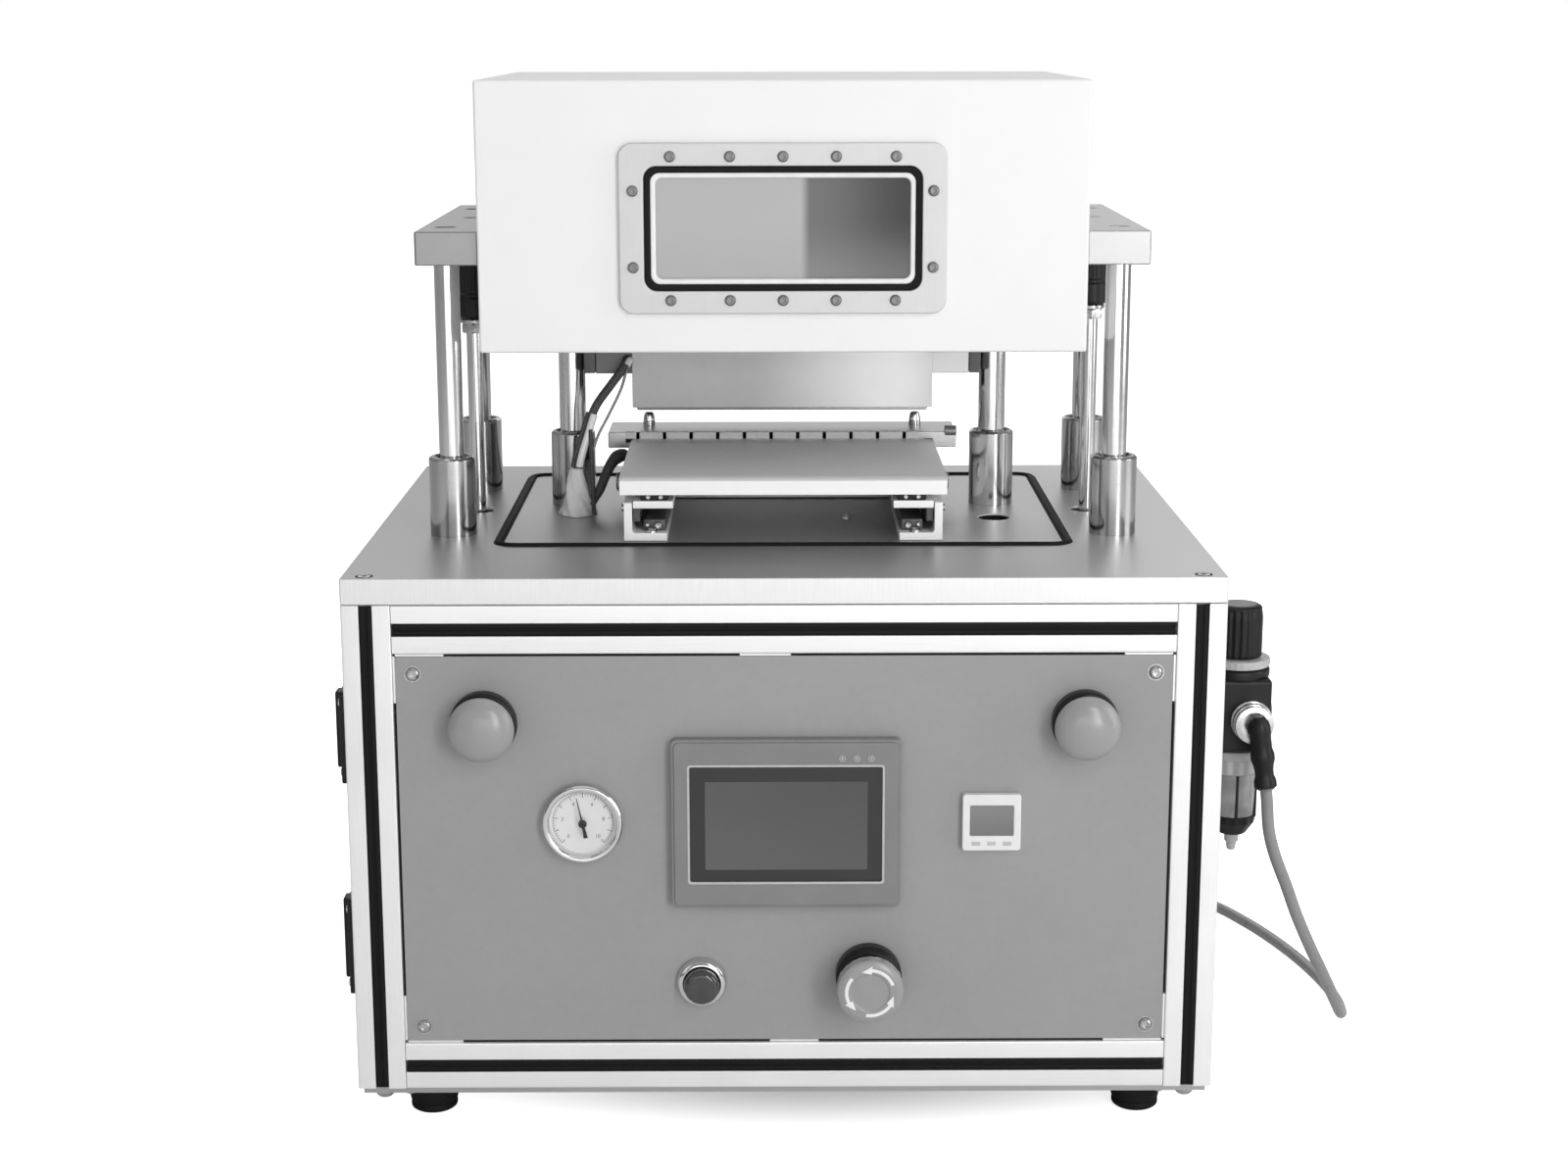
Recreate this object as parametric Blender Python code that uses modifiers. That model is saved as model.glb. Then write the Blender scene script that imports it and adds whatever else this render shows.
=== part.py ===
"""Benchtop vacuum heat-sealing press for battery pouch cells.

Lengths below are in millimetres; MM turns them into Blender's metres.
X runs across the machine from its middle, Y runs back from the front edge of the
deck, and Z is the height over the bench. One empty, "machine", carries all of it
and puts the middle of the machine's box over the origin.
"""
import bpy
import bmesh
from math import cos, pi, sin
from mathutils import Matrix, Vector

MM = 0.001
GAP = 0.3                      # daylight between pieces that touch
RUNNING = 0.2                  # radial clearance of a sliding rod in its bore
SIDES = 32                     # facets of a visible round piece

# ---- driving sizes ----
DECK_W, DECK_D, DECK_T = 530.0, 400.0, 16.0
FOOT_H, BASE_T, FRAME_H = 20.0, 4.0, 308.0
BAR = 30.0                     # width of the aluminium extrusion
PANEL_T = 3.0
BASE_TOP = FOOT_H + BASE_T
FRAME_TOP = BASE_TOP + FRAME_H
DECK_TOP = FRAME_TOP + DECK_T
HALF_W = DECK_W / 2
FRONT = 1.0                    # front face of the control panel

CHAMBER_W, CHAMBER_WALL, CHAMBER_H = 376.0, 15.0, 166.0
CHAMBER_Y = (92.0, 364.0)
LIFT_STROKE = 121.0            # chamber travel
SEAL_PROUD = 1.8               # height of the seal over the deck
RIM = DECK_TOP + SEAL_PROUD + 0.2 + LIFT_STROKE      # rim height with the chamber raised
SEAL_STROKE = 14.5             # travel of the hot upper die
DIE_TOP = DECK_TOP + 47.5      # sealing face of the fixed die

POST_X, POST_Y, POST_R = 213.0, (140.0, 304.0), 8.0
LIFT_X, LIFT_Y, LIFT_R = 206.0, 222.0, 5.0
PRESS_X, PRESS_Y, PRESS_R = 143.0, 246.5, 9.0
BUSH_R, BUSH_H = 15.0, 51.0
WING_Z = (DECK_TOP + 176.0, DECK_TOP + 197.0)

REGULATOR = (300.0, 150.0)     # axis of the air regulator on the right side
HOSE_R = 4.0

# The machine's own box, without the hose: hinges to the left, regulator to the
# right, emergency stop to the front, power inlet to the back.
HINGE_OUT, REGULATOR_HALF = 8.5, 21.0
STOP_OUT, INLET_OUT = 32.0, 9.0
MIDDLE_X = ((REGULATOR[0] + REGULATOR_HALF) - (HALF_W + HINGE_OUT)) / 2
MIDDLE_Y = ((DECK_D + INLET_OUT) - STOP_OUT) / 2


# ---- making and joining ----

def clear_scene():
    for old in list(bpy.data.objects):
        bpy.data.objects.remove(old, do_unlink=True)


def new_collection(name):
    made = bpy.data.collections.new(name)
    bpy.context.scene.collection.children.link(made)
    return made


def material(name, colour, roughness, metallic=0.0, alpha=1.0):
    made = bpy.data.materials.new(name)
    made.use_nodes = True
    surface = made.node_tree.nodes["Principled BSDF"]
    surface.inputs["Base Color"].default_value = (*colour, 1.0)
    surface.inputs["Roughness"].default_value = roughness
    surface.inputs["Metallic"].default_value = metallic
    surface.inputs["Alpha"].default_value = alpha
    return made


def add_object(name, data, centre=(0, 0, 0)):
    """Put data in the scene at a place given in millimetres, under the machine."""
    made = bpy.data.objects.new(name, data)
    PARTS.objects.link(made)
    made.parent = MACHINE
    made.location = Vector(centre) * MM
    return made


def mesh_of(name, bm):
    data = bpy.data.meshes.new(name)
    bm.to_mesh(data)
    bm.free()
    data.shade_smooth()
    data.set_sharp_from_angle(angle=0.6)
    return data


def block(name, x, y, z, corner=0.0, along="Z", steps=4, edge=0.0):
    """A box between the given limits. corner rounds the edges along one axis,
    and edge chamfers all of them."""
    spans = (x, y, z)
    bm = bmesh.new()
    bmesh.ops.create_cube(bm, size=1.0)
    size = [(high - low) * MM for low, high in spans]
    bmesh.ops.scale(bm, vec=size, verts=bm.verts)
    if corner:
        axis = "XYZ".index(along)
        long_edges = [e for e in bm.edges if abs((e.verts[0].co - e.verts[1].co)[axis]) > size[axis] / 2]
        bmesh.ops.bevel(bm, geom=long_edges, offset=corner * MM, segments=steps, profile=0.5, affect="EDGES")
    made = add_object(name, mesh_of(name, bm), [(low + high) / 2 for low, high in spans])
    if edge:
        chamfer = made.modifiers.new("edges", "BEVEL")
        chamfer.width = edge * MM
        chamfer.segments = 1
        chamfer.limit_method = "ANGLE"
    return made


TURNS = {
    "Z": Matrix.Identity(4),
    "X": Matrix.Rotation(pi / 2, 4, "Y"),
    "-Y": Matrix.Rotation(pi / 2, 4, "X"),
}


def rod(name, start, radius, length, axis="Z", sides=SIDES, tip=None):
    """A round bar or cone that starts at a point and runs along an axis."""
    bm = bmesh.new()
    end_radius = radius if tip is None else tip
    bmesh.ops.create_cone(bm, cap_ends=True, segments=sides, radius1=radius * MM,
                          radius2=end_radius * MM, depth=length * MM)
    bmesh.ops.translate(bm, vec=(0, 0, length * MM / 2), verts=bm.verts)
    bmesh.ops.transform(bm, matrix=TURNS[axis], verts=bm.verts)
    return add_object(name, mesh_of(name, bm), start)


def turned(name, start, profile, axis="Z", steps=SIDES):
    """A turned piece: profile is (radius, height) down the outer side, top to
    bottom, and on round the inside of a hollow one."""
    data = bpy.data.meshes.new(name)
    closed = profile[0][0] > 0
    count = len(profile)
    edges = [(i, i + 1) for i in range(count - 1)]
    if closed:
        edges.append((count - 1, 0))
    data.from_pydata([(r * MM, 0, h * MM) for r, h in profile], edges, [])
    made = add_object(name, data, start)
    made.rotation_euler = TURNS[axis].to_euler()
    screw = made.modifiers.new("turn", "SCREW")
    screw.steps = steps
    screw.render_steps = steps
    screw.use_merge_vertices = True
    screw.merge_threshold = 0.00001
    return made


def smooth_route(stops, spacing):
    """Points a spacing apart on the Catmull-Rom curve through the stops."""
    knots = [Vector(p) for p in stops]
    knots = [2 * knots[0] - knots[1], *knots, 2 * knots[-1] - knots[-2]]
    fine = []
    for a, b, c, d in zip(knots, knots[1:], knots[2:], knots[3:]):
        for i in range(24):
            t = i / 24
            fine.append(0.5 * (2 * b + (c - a) * t + (2 * a - 5 * b + 4 * c - d) * t ** 2
                               + (3 * b - a - 3 * c + d) * t ** 3))
    fine.append(knots[-2])
    total = sum((q - p).length for p, q in zip(fine, fine[1:]))
    count = max(2, round(total / spacing))
    picked, run, want = [fine[0]], 0.0, total / count
    for p, q in zip(fine, fine[1:]):
        step = (q - p).length
        while step and run + step >= want * len(picked) and len(picked) < count:
            picked.append(p.lerp(q, (want * len(picked) - run) / step))
        run += step
    picked.append(fine[-1])
    return picked


def tube(name, stops, radius, spacing, resolution=2):
    """A round lead or hose along a smooth route."""
    points = smooth_route(stops, spacing)
    curve = bpy.data.curves.new(name, "CURVE")
    curve.dimensions = "3D"
    spline = curve.splines.new("POLY")
    spline.points.add(len(points) - 1)
    for point, place in zip(spline.points, points):
        point.co = (*(place * MM), 1.0)
    curve.bevel_depth = radius * MM
    curve.bevel_resolution = resolution
    curve.use_fill_caps = True
    return add_object(name, curve)


def combine(part, operation, tools):
    for tool in tools:
        step = part.modifiers.new(tool.name, "BOOLEAN")
        step.operation = operation
        step.solver = "EXACT"
        step.object = tool
        tool.hide_render = True
        tool.display_type = "WIRE"
        for home in list(tool.users_collection):
            home.objects.unlink(tool)
        TOOLS.objects.link(tool)
    return part


def cut(part, *tools):
    return combine(part, "DIFFERENCE", tools)


def join(part, *tools):
    return combine(part, "UNION", tools)


def finish(part, surface):
    part.data.materials.append(surface)
    return part


def group(name, centre, parts, parent=None):
    """An empty on a joint's axis, with the pieces that move on it."""
    holder = add_object(name, None, centre)
    if parent is not None:
        holder.parent = parent
        holder.location = (Vector(centre) - Vector(parent["place"])) * MM
    holder["place"] = list(centre)
    for part in parts:
        part.parent = holder
        part.location = part.location - Vector(centre) * MM
    return holder


def both_sides(x, inner, outer):
    """The X limits of a span that is mirrored to the side that x is on."""
    return (inner, outer) if x > 0 else (-outer, -inner)


# ---- cabinet ----

def cabinet_frame():
    """Twelve 30 mm extrusions bolted at the corners: a box of bars."""
    inner, back = HALF_W - BAR, DECK_D
    frame = block("cabinet_frame", (-HALF_W, HALF_W), (0, back), (BASE_TOP, FRAME_TOP - GAP))
    low, high = BASE_TOP + BAR, FRAME_TOP - GAP - BAR
    through = 20
    cut(frame,
        block("frame_front_window", (-inner, inner), (-through, back + through), (low, high)),
        block("frame_side_window", (-HALF_W - through, HALF_W + through), (BAR, back - BAR), (low, high)),
        block("frame_top_window", (-inner, inner), (BAR, back - BAR), (BASE_TOP - through, FRAME_TOP + through)))
    return finish(frame, ANODISED)


def cabinet_panels():
    """Sheet covers let into the frame's openings, and the plate below."""
    inner, seam = HALF_W - BAR, 1.5
    low, high = BASE_TOP + BAR + seam, FRAME_TOP - GAP - BAR - seam
    side_y = (BAR + seam, DECK_D - BAR - seam)
    front = block("front_panel", (-inner + seam, inner - seam), (FRONT, FRONT + PANEL_T), (low, high))
    finish(front, GREY_PAINT)
    right = block("right_panel", (HALF_W - 4, HALF_W - 1), side_y, (low, high))
    finish(right, GREY_PAINT)
    rear = block("rear_panel", (-inner + seam, inner - seam), (DECK_D - 4, DECK_D - 1), (low, high))
    inlet = block("rear_inlet_body", (-180, -132), (DECK_D - 2, DECK_D + INLET_OUT), (80, 108), 4, "Y")
    pins = block("rear_inlet_recess", (-170, -142), (DECK_D + 1, DECK_D + INLET_OUT + 5), (86, 102), 3, "Y")
    join(rear, inlet)
    cut(rear, pins)
    finish(rear, GREY_PAINT)
    base = block("base_plate", (-HALF_W + 3, HALF_W - 3), (3, DECK_D - 3), (FOOT_H, BASE_TOP - GAP))
    finish(base, STEEL)


def side_door():
    """Access door on the left, with the two moving hinge leaves on its edge."""
    seam = 2.0
    low, high = BASE_TOP + BAR + seam, FRAME_TOP - GAP - BAR - seam
    door = block("side_door", (-HALF_W + 1, -HALF_W + 4), (BAR + seam, DECK_D - BAR - seam), (low, high))
    for name, z in (("upper", (217, 275)), ("lower", (81, 143))):
        join(door, block("door_leaf_" + name, (-HALF_W - 1.8, -HALF_W + 2), (36, 48), (z[0] + 3, z[1] - 3)))
    finish(door, GREY_PAINT)
    pin_x, pin_y = -HALF_W - 4.2, BAR + 1
    for name, z in (("upper", (217, 275)), ("lower", (81, 143))):
        leaf = block("hinge_" + name, (-HALF_W - HINGE_OUT, -HALF_W - GAP), (13, pin_y), (z[0] + 8, z[1]))
        foot = block("hinge_foot_" + name, (-HALF_W - 5, -HALF_W - GAP), (13, 29), (z[0], z[0] + 12))
        knuckle = rod("hinge_knuckle_" + name, (pin_x, pin_y, z[0] + 8), 3.6, z[1] - z[0] - 8, sides=16)
        join(leaf, foot, knuckle)
        finish(leaf, BLACK)
    group("door_swing", (pin_x, pin_y, (low + high) / 2), [door])


def feet():
    """Four rubber feet screwed up into the base plate."""
    for row, y in (("front", 30), ("rear", DECK_D - 30)):
        for side, x in (("left", -222), ("right", 222)):
            foot = rod("foot_" + row + "_" + side, (x, y, 0), 14.5, FOOT_H - GAP, sides=24, tip=16)
            finish(foot, RUBBER)


# ---- deck ----

def deck():
    """Machined plate with six pressed-in guide bushes, a seal groove and its holes."""
    plate = block("deck_plate", (-HALF_W, HALF_W), (0, DECK_D), (FRAME_TOP, DECK_TOP), edge=0.8)
    guides = [(x, y, POST_R) for x in (-POST_X, POST_X) for y in POST_Y]
    guides += [(x, PRESS_Y, PRESS_R) for x in (-PRESS_X, PRESS_X)]
    for i, (x, y, r) in enumerate(guides):
        join(plate, rod("bush_%d" % i, (x, y, DECK_TOP - 4), BUSH_R, BUSH_H + 4))
    groove = seal_ring("deck_groove", 2.8, DECK_TOP - 3.3, DECK_TOP + 5)
    cut(plate, groove)
    for i, (x, y, r) in enumerate(guides):
        cut(plate, rod("bush_bore_%d" % i, (x, y, FRAME_TOP - 5), r + RUNNING, DECK_T + BUSH_H + 10))
    for side, x in (("left", -LIFT_X), ("right", LIFT_X)):
        cut(plate, rod("lift_hole_" + side, (x, LIFT_Y, FRAME_TOP - 5), 10.5, DECK_T + 10, sides=24))
    cut(plate, rod("port_hole", (141, 192, FRAME_TOP - 5), 10, DECK_T + 10, sides=24))
    return finish(plate, DECK_GREY)


def seal_ring(name, half_width, low, high):
    """A rounded rectangular ring of square section under the chamber's rim."""
    x, y, corner = CHAMBER_W / 2 - 7, (99.0, 358.0), 10.0
    outer = block(name, (-x - half_width, x + half_width), (y[0] - half_width, y[1] + half_width),
                  (low, high), corner + half_width, steps=5)
    inner = block(name + "_inside", (-x + half_width, x - half_width), (y[0] + half_width, y[1] - half_width),
                  (low - 5, high + 5), corner - half_width, steps=5)
    return cut(outer, inner)


def chamber_seal():
    finish(seal_ring("chamber_seal", 2.5, DECK_TOP - 3, DECK_TOP + SEAL_PROUD), RUBBER)


# ---- sealing station ----

def tray_and_brackets():
    """Height-adjustable tray: two angles on the deck clamp two cleats under it."""
    top = DECK_TOP + 42.5
    tray = block("tray", (-104, 104), (109, 257), (top - 12, top), edge=1.5)
    flange = DECK_TOP + 26
    for side, x in (("left", -1), ("right", 1)):
        pad = block("tray_pad_" + side, both_sides(x, 73, 91), (114, 248), (flange - 1, top - 10))
        shelf = block("tray_shelf_" + side, both_sides(x, 70, 95.7), (112, 250), (flange - 5, flange))
        leg = block("tray_leg_" + side, both_sides(x, 91, 95.7), (112, 250), (flange - 14, flange - 3))
        join(tray, pad, shelf, leg)
        bracket = block("tray_bracket_" + side, both_sides(x, 96, 101.5), (112, 250),
                        (DECK_TOP + GAP, DECK_TOP + 25))
        foot = block("tray_foot_" + side, both_sides(x, 74, 98), (112, 250), (DECK_TOP + GAP, DECK_TOP + 5.3))
        join(bracket, foot)
        finish(bracket, ALUMINIUM)
    finish(tray, ALUMINIUM)
    group("tray_height", (0, 183, top), [tray])


def lower_die():
    """Fixed sealing bar on its pedestal, with two locating pins."""
    top = DIE_TOP
    die = block("lower_die", (-120, 120), (257.5, 305), (top - 11, top), edge=0.8)
    pedestal = block("die_pedestal", (-95, 95), (262, 300), (DECK_TOP + GAP, top - 9))
    join(die, pedestal)
    for side, x in (("left", -93), ("right", 93)):
        join(die, rod("die_pin_" + side, (x, 290, top - 4), 4.2, 13.5, sides=16, tip=3.4))
    return finish(die, STEEL)


def sealing_head():
    """Crosshead between two guided posts, hung from the plate on top of them, with the
    heated upper die and its shield. A yoke under the deck joins the posts, and a short
    cylinder pulls it down."""
    low = DECK_TOP + 92
    inner = PRESS_X - PRESS_R - GAP
    beam = block("crosshead", (-inner, inner), (228, 300), (low, low + 20), edge=1)
    join(beam, block("crosshead_plate", (-160, 160), (228, 300), (low + 19, low + 26), edge=1))
    finish(beam, STEEL)
    posts = []
    yoke_top, yoke_h = 235.0, 30.0
    for side, x in (("left", -PRESS_X), ("right", PRESS_X)):
        post = rod("press_post_" + side, (x, PRESS_Y, yoke_top + GAP), PRESS_R, low + 19 - yoke_top - 2 * GAP)
        posts.append(finish(post, CHROME))
    bottom = DIE_TOP + SEAL_STROKE + GAP
    die = block("upper_die", (-100, 100), (258, 304), (bottom, low - GAP), edge=0.8)
    for side, x in (("left", -93), ("right", 93)):
        cut(die, rod("die_pin_hole_" + side, (x, 290, bottom - 5), 4.5, 17, sides=16))
    shield = block("head_shield", (-101, 101), (224.5, 227.7), (DECK_TOP + 69.4, low + 25))
    shelf = block("head_shelf", (-98, 98), (226, 260), (DECK_TOP + 73, DECK_TOP + 77))
    join(die, shield, shelf)
    finish(die, STEEL)
    yoke = block("press_yoke", (-165, 165), (PRESS_Y - 15, PRESS_Y + 15), (yoke_top - yoke_h, yoke_top), edge=1)
    stem = rod("press_stem", (0, PRESS_Y, yoke_top - 4), 10, 58, sides=24)
    piston = rod("press_piston", (0, PRESS_Y, 281), 37, 14, sides=24)
    join(yoke, stem, piston)
    finish(yoke, STEEL)
    body = block("press_cylinder", (-48, 48), (PRESS_Y - 48, PRESS_Y + 48), (250, FRAME_TOP - GAP), 6)
    cut(body,
        rod("press_bore", (0, PRESS_Y, 260), 38, 60, sides=24),
        rod("press_stem_bore", (0, PRESS_Y, 240), 10 + RUNNING, 40, sides=24))
    finish(body, ALUMINIUM)
    group("seal_press", (0, PRESS_Y, low), [beam, die, yoke, *posts])


def cables():
    """Potted cable entry in the deck, the heater lead up to the head and the
    one to the lower die."""
    mound = [(0, 24), (4.5, 24), (5.5, 21), (7, 16), (9.5, 9), (11.5, 3), (12, 0), (0, 0)]
    finish(turned("cable_seal", (-138, 205, DECK_TOP + GAP), mound, steps=20), SEALANT)
    top = DECK_TOP + 24.7
    lead = tube("head_cable", [(-138, 205, top), (-137, 206, top + 10), (-131, 211, top + 28),
                               (-122, 215, top + 48), (-112, 216.5, top + 66), (-107.5, 219, top + 75),
                               (-106, 223, top + 77.5), (-106, 227.3, top + 77.8)], 3, 8)
    finish(lead, RUBBER)
    lead = tube("die_cable", [(-126.6, 208, 359), (-123, 210, 364), (-119, 216, 373), (-115, 228, 379),
                              (-111, 242, 380), (-109, 252, 379.5), (-108.5, 257.2, 379.5)], 2.5, 6)
    finish(lead, RUBBER)


# ---- vacuum chamber ----

def vacuum_chamber():
    """Open-bottomed box that the two wings carry on four guide posts."""
    half, wall = CHAMBER_W / 2, CHAMBER_WALL
    y0, y1 = CHAMBER_Y
    box = block("chamber_box", (-half, half), (y0, y1), (RIM, RIM + CHAMBER_H), edge=1)
    window_z = DECK_TOP + 199.5
    cut(box,
        block("chamber_hollow", (-half + wall, half - wall), (y0 + wall, y1 - wall),
              (RIM - 20, RIM + CHAMBER_H - wall), 6),
        block("window_hole", (-80, 80), (y0 - 5, y0 + wall + 5), (window_z - 33, window_z + 33), 6, "Y"),
        block("window_pocket", (-92.5, 92.5), (y0 - 5, y0 + 8), (window_z - 44.5, window_z + 44.5), 6, "Y"))
    finish(box, WHITE_PAINT)
    glass = block("window_glass", (-92, 92), (y0 + GAP, y0 + 7.7), (window_z - 44, window_z + 44), 5.5, "Y")
    finish(glass, GLASS)
    rim = block("window_frame", (-100.5, 100.5), (y0 - 4, y0 - GAP), (window_z - 52, window_z + 52), 9, "Y", 5)
    cut(rim, block("window_opening", (-85.3, 85.3), (y0 - 10, y0 + 5), (window_z - 38, window_z + 38), 8, "Y"))
    finish(rim, STEEL)
    moving = [box, glass, rim]
    for side, x in (("left", -1), ("right", 1)):
        wing = block("wing_" + side, both_sides(x, half + GAP, 228), (102, 344), WING_Z, edge=0.8)
        moving.append(finish(wing, ALUMINIUM))
        for place, y in zip(("front", "rear"), POST_Y):
            bottom = FRAME_TOP + 2
            post = rod("guide_post_%s_%s" % (side, place), (x * POST_X, y, bottom), POST_R,
                       WING_Z[0] - GAP - bottom)
            moving.append(finish(post, CHROME))
        moving.append(lift_rod(side, x))
        lift_cylinder(side, x)
    group("chamber_lift", (0, LIFT_Y, RIM), moving)


def lift_rod(side, x):
    """Piston rod of a lift cylinder, with its piston and floating coupling."""
    piston_low = 298.0
    lift = rod("lift_rod_" + side, (x * LIFT_X, LIFT_Y, piston_low), LIFT_R, WING_Z[0] - piston_low - 10)
    join(lift,
         rod("lift_coupling_" + side, (x * LIFT_X, LIFT_Y, WING_Z[0] - 40), 11, 40 - GAP, sides=24),
         rod("lift_nut_" + side, (x * LIFT_X, LIFT_Y, WING_Z[0] - 46), 9, 8, sides=6),
         rod("lift_piston_" + side, (x * LIFT_X, LIFT_Y, piston_low), 15.5, 12, sides=24))
    return finish(lift, CHROME)


def lift_cylinder(side, x):
    """Air cylinder hung from the deck; its bore is open below."""
    low = 165.0
    body = block("lift_cylinder_" + side, (x * LIFT_X - 21, x * LIFT_X + 21), (LIFT_Y - 21, LIFT_Y + 21),
                 (low, FRAME_TOP - GAP), 4)
    cut(body,
        rod("lift_bore_" + side, (x * LIFT_X, LIFT_Y, low - 5), 16, FRAME_TOP - low - 8, sides=24),
        rod("lift_gland_" + side, (x * LIFT_X, LIFT_Y, FRAME_TOP - 20), LIFT_R + RUNNING, 30))
    finish(body, ALUMINIUM)


# ---- controls ----

def on_panel(x, z):
    """The point on the front panel's face that a control is centred on."""
    return (x, FRONT - GAP, z)


def touchscreen():
    """Operator screen, with its picture area a little sunk in the bezel."""
    x, z = 0.8, DECK_TOP - 151
    screen = block("touchscreen", (x - 69.5, x + 69.5), (-7.5, FRONT - GAP), (z - 53, z + 53), 3.5, "Y", 3)
    cut(screen, block("screen_recess", (x - 57.5, x + 57.5), (-20, -6.3), (z - 35.5, z + 35.5)))
    return finish(screen, DARK_PLASTIC)


def pressure_gauge():
    """Dial gauge: a turned case that is open in front, and its balanced pointer."""
    x, z = -122.4, DECK_TOP - 151
    case = [(0, 1.5), (21, 1.5), (21, 8), (24, 8), (24.5, 6.5), (23, 0), (0, 0)]
    finish(turned("gauge_case", on_panel(x, z), case, "-Y"), CHROME)
    lean = 0.21
    pointer = rod("gauge_pointer", (x, -4.2, z), 2.6, 1.0, "-Y", sides=16)
    blade = block("pointer_blade", (x - 0.7, x + 0.7), (-4.95, -4.45), (z - 8.5, z + 16.5))
    blade.rotation_euler = (0, -lean, 0)
    blade.location = Vector((x - 4.0 * sin(lean), -4.7, z + 4.0 * cos(lean))) * MM
    join(pointer, blade)
    finish(pointer, BLACK)
    group("gauge_axis", (x, -4.2, z), [pointer])


def pressure_display():
    """Square digital vacuum switch with three keys below its screen."""
    x, z = 125.5, DECK_TOP - 151
    body = block("pressure_display", (x - 17.7, x + 17.7), (-4.5, FRONT - GAP), (z - 17.7, z + 17.7), 1.8, "Y", 2)
    cut(body, block("display_recess", (x - 13.3, x + 13.3), (-9, -3.9), (z - 8.3, z + 10.2)))
    return finish(body, WHITE_PLASTIC)


def palm_buttons():
    """Two-hand start: a mushroom cap on a sprung stem in each dark collar."""
    z = DECK_TOP - 89
    collar = [(19, 9), (20.3, 7.5), (20.3, 0), (9.4, 0), (9.4, 9)]
    cap = [(0, 26), (7, 25.4), (13, 23.6), (17, 21), (19.4, 18), (20, 16.2), (19.4, 15), (9, 15), (9, 6), (0, 6)]
    for side, x in (("left", -181), ("right", 181)):
        finish(turned("palm_collar_" + side, on_panel(x, z), collar, "-Y"), BLACK)
        button = finish(turned("palm_button_" + side, on_panel(x, z), cap, "-Y"), GREY_PLASTIC)
        group("palm_axis_" + side, on_panel(x, z), [button])


def start_button():
    """Lit push button with a long dark lens in a plated bezel."""
    place = on_panel(-51, DECK_TOP - 254)
    bezel = [(12.5, 6.5), (15.5, 2.5), (15.5, 0), (11.4, 0), (11.4, 6.5)]
    lens = [(0, 14.5), (9.2, 14.5), (11, 13), (11, 4), (0, 4)]
    finish(turned("start_bezel", place, bezel, "-Y"), CHROME)
    button = finish(turned("start_button", place, lens, "-Y"), DARK_PLASTIC)
    group("start_axis", place, [button])


def emergency_stop():
    """Push-to-stop, twist-to-release: collar, sliding stem and turning head."""
    place = on_panel(51.5, DECK_TOP - 249.5)
    collar = [(18, 12), (20.3, 8), (20.3, 0), (9.4, 0), (9.4, 12)]
    stem = [(0, 19.7), (6, 19.7), (6, 14), (9, 14), (9, 5), (0, 5)]
    out = STOP_OUT + FRONT - GAP
    head = [(0, out), (17, out), (19.5, out - 1), (20.8, out - 3.5), (20.8, out - 8), (18, out - 11),
            (12, 20), (0, 20)]
    finish(turned("stop_collar", place, collar, "-Y"), BLACK)
    stem = finish(turned("stop_stem", place, stem, "-Y"), BLACK)
    head = finish(turned("stop_head", place, head, "-Y"), GREY_PLASTIC)
    slide = group("stop_push_axis", place, [stem])
    group("stop_twist_axis", place, [head], slide)


# ---- air supply ----

def regulator():
    """Filter regulator on the right side: body on its bracket, knob, bowl and
    the elbow that the hose plugs into."""
    x, y = REGULATOR
    low, high = DECK_TOP - 147, DECK_TOP - 97
    body = block("regulator_body", (x - 20, x + 20), (y - 20, y + 20), (low, high), 3, edge=0)
    join(body,
         block("regulator_bracket", (HALF_W - 0.7, x - 15), (y - 12, y + 12), (low + 14, high - 12)),
         rod("regulator_ring", (x, y, high - 4), REGULATOR_HALF, 16))
    finish(body, BLACK)
    knob_low = high + 12 + GAP
    knob = [(0, DECK_TOP - 50 - knob_low), (13.5, DECK_TOP - 50 - knob_low),
            (15.5, DECK_TOP - 53 - knob_low), (15.5, 0), (0, 0)]
    knob = finish(turned("regulator_knob", (x, y, knob_low), knob, steps=24), BLACK)
    group("regulator_axis", (x, y, knob_low), [knob])
    bowl = [(0, 57), (17.5, 57), (18.5, 50), (18.5, 42), (16, 40), (15, 18), (9, 10), (5, 9), (4, 0), (0, 0)]
    finish(turned("regulator_bowl", (x, y, low - GAP - 57 - 14.7), [(r, h * 71.7 / 57) for r, h in bowl]), GLASS)
    tap = rod("inlet_elbow", (307.3, y - 20 - GAP, 224), 9, 13, "-Y", sides=24)
    start, end = Vector((307.3, 110, 232)), ELBOW_END
    drop = rod("elbow_drop", start, 7, (end - start).length, sides=20)
    drop.rotation_euler = (end - start).to_track_quat("Z", "Y").to_euler()
    join(tap, drop)
    finish(tap, BLACK)


ELBOW_END = Vector((313.7, 110, 185))

# The hose: out of the elbow, down to the bench in an easy bow, back along the
# machine and into a coil behind it.
COIL = (205.0, 486.0)          # middle of the coil
COIL_INNER, COIL_OUTER = 41.0, 49.0
COIL_LEAD = 30.0               # straight stretch where the hose meets its coil
COIL_OUT = 36.0                # and where it leaves it for the connector
HOSE_STOPS = [
    (313.8, 110, 184.6), (315, 110, 175), (317, 110, 155), (322, 111, 137), (330.5, 113, 116),
    (339, 116, 94), (349.5, 121, 71), (361, 128, 48), (371, 138, 28), (379, 152, 12.5),
    (384, 170, 5.2), (386, 192, 4.1), (385, 218, 4.1), (381, 248, 4.1), (374, 282, 4.1),
    (364, 318, 4.1), (351, 354, 4.1), (335, 388, 4.1), (314, 414, 4.1), (288, 430, 4.1),
    (262, 436.4, 4.1), (COIL[0] + COIL_LEAD, COIL[1] - COIL_OUTER, 4.1),
]


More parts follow.
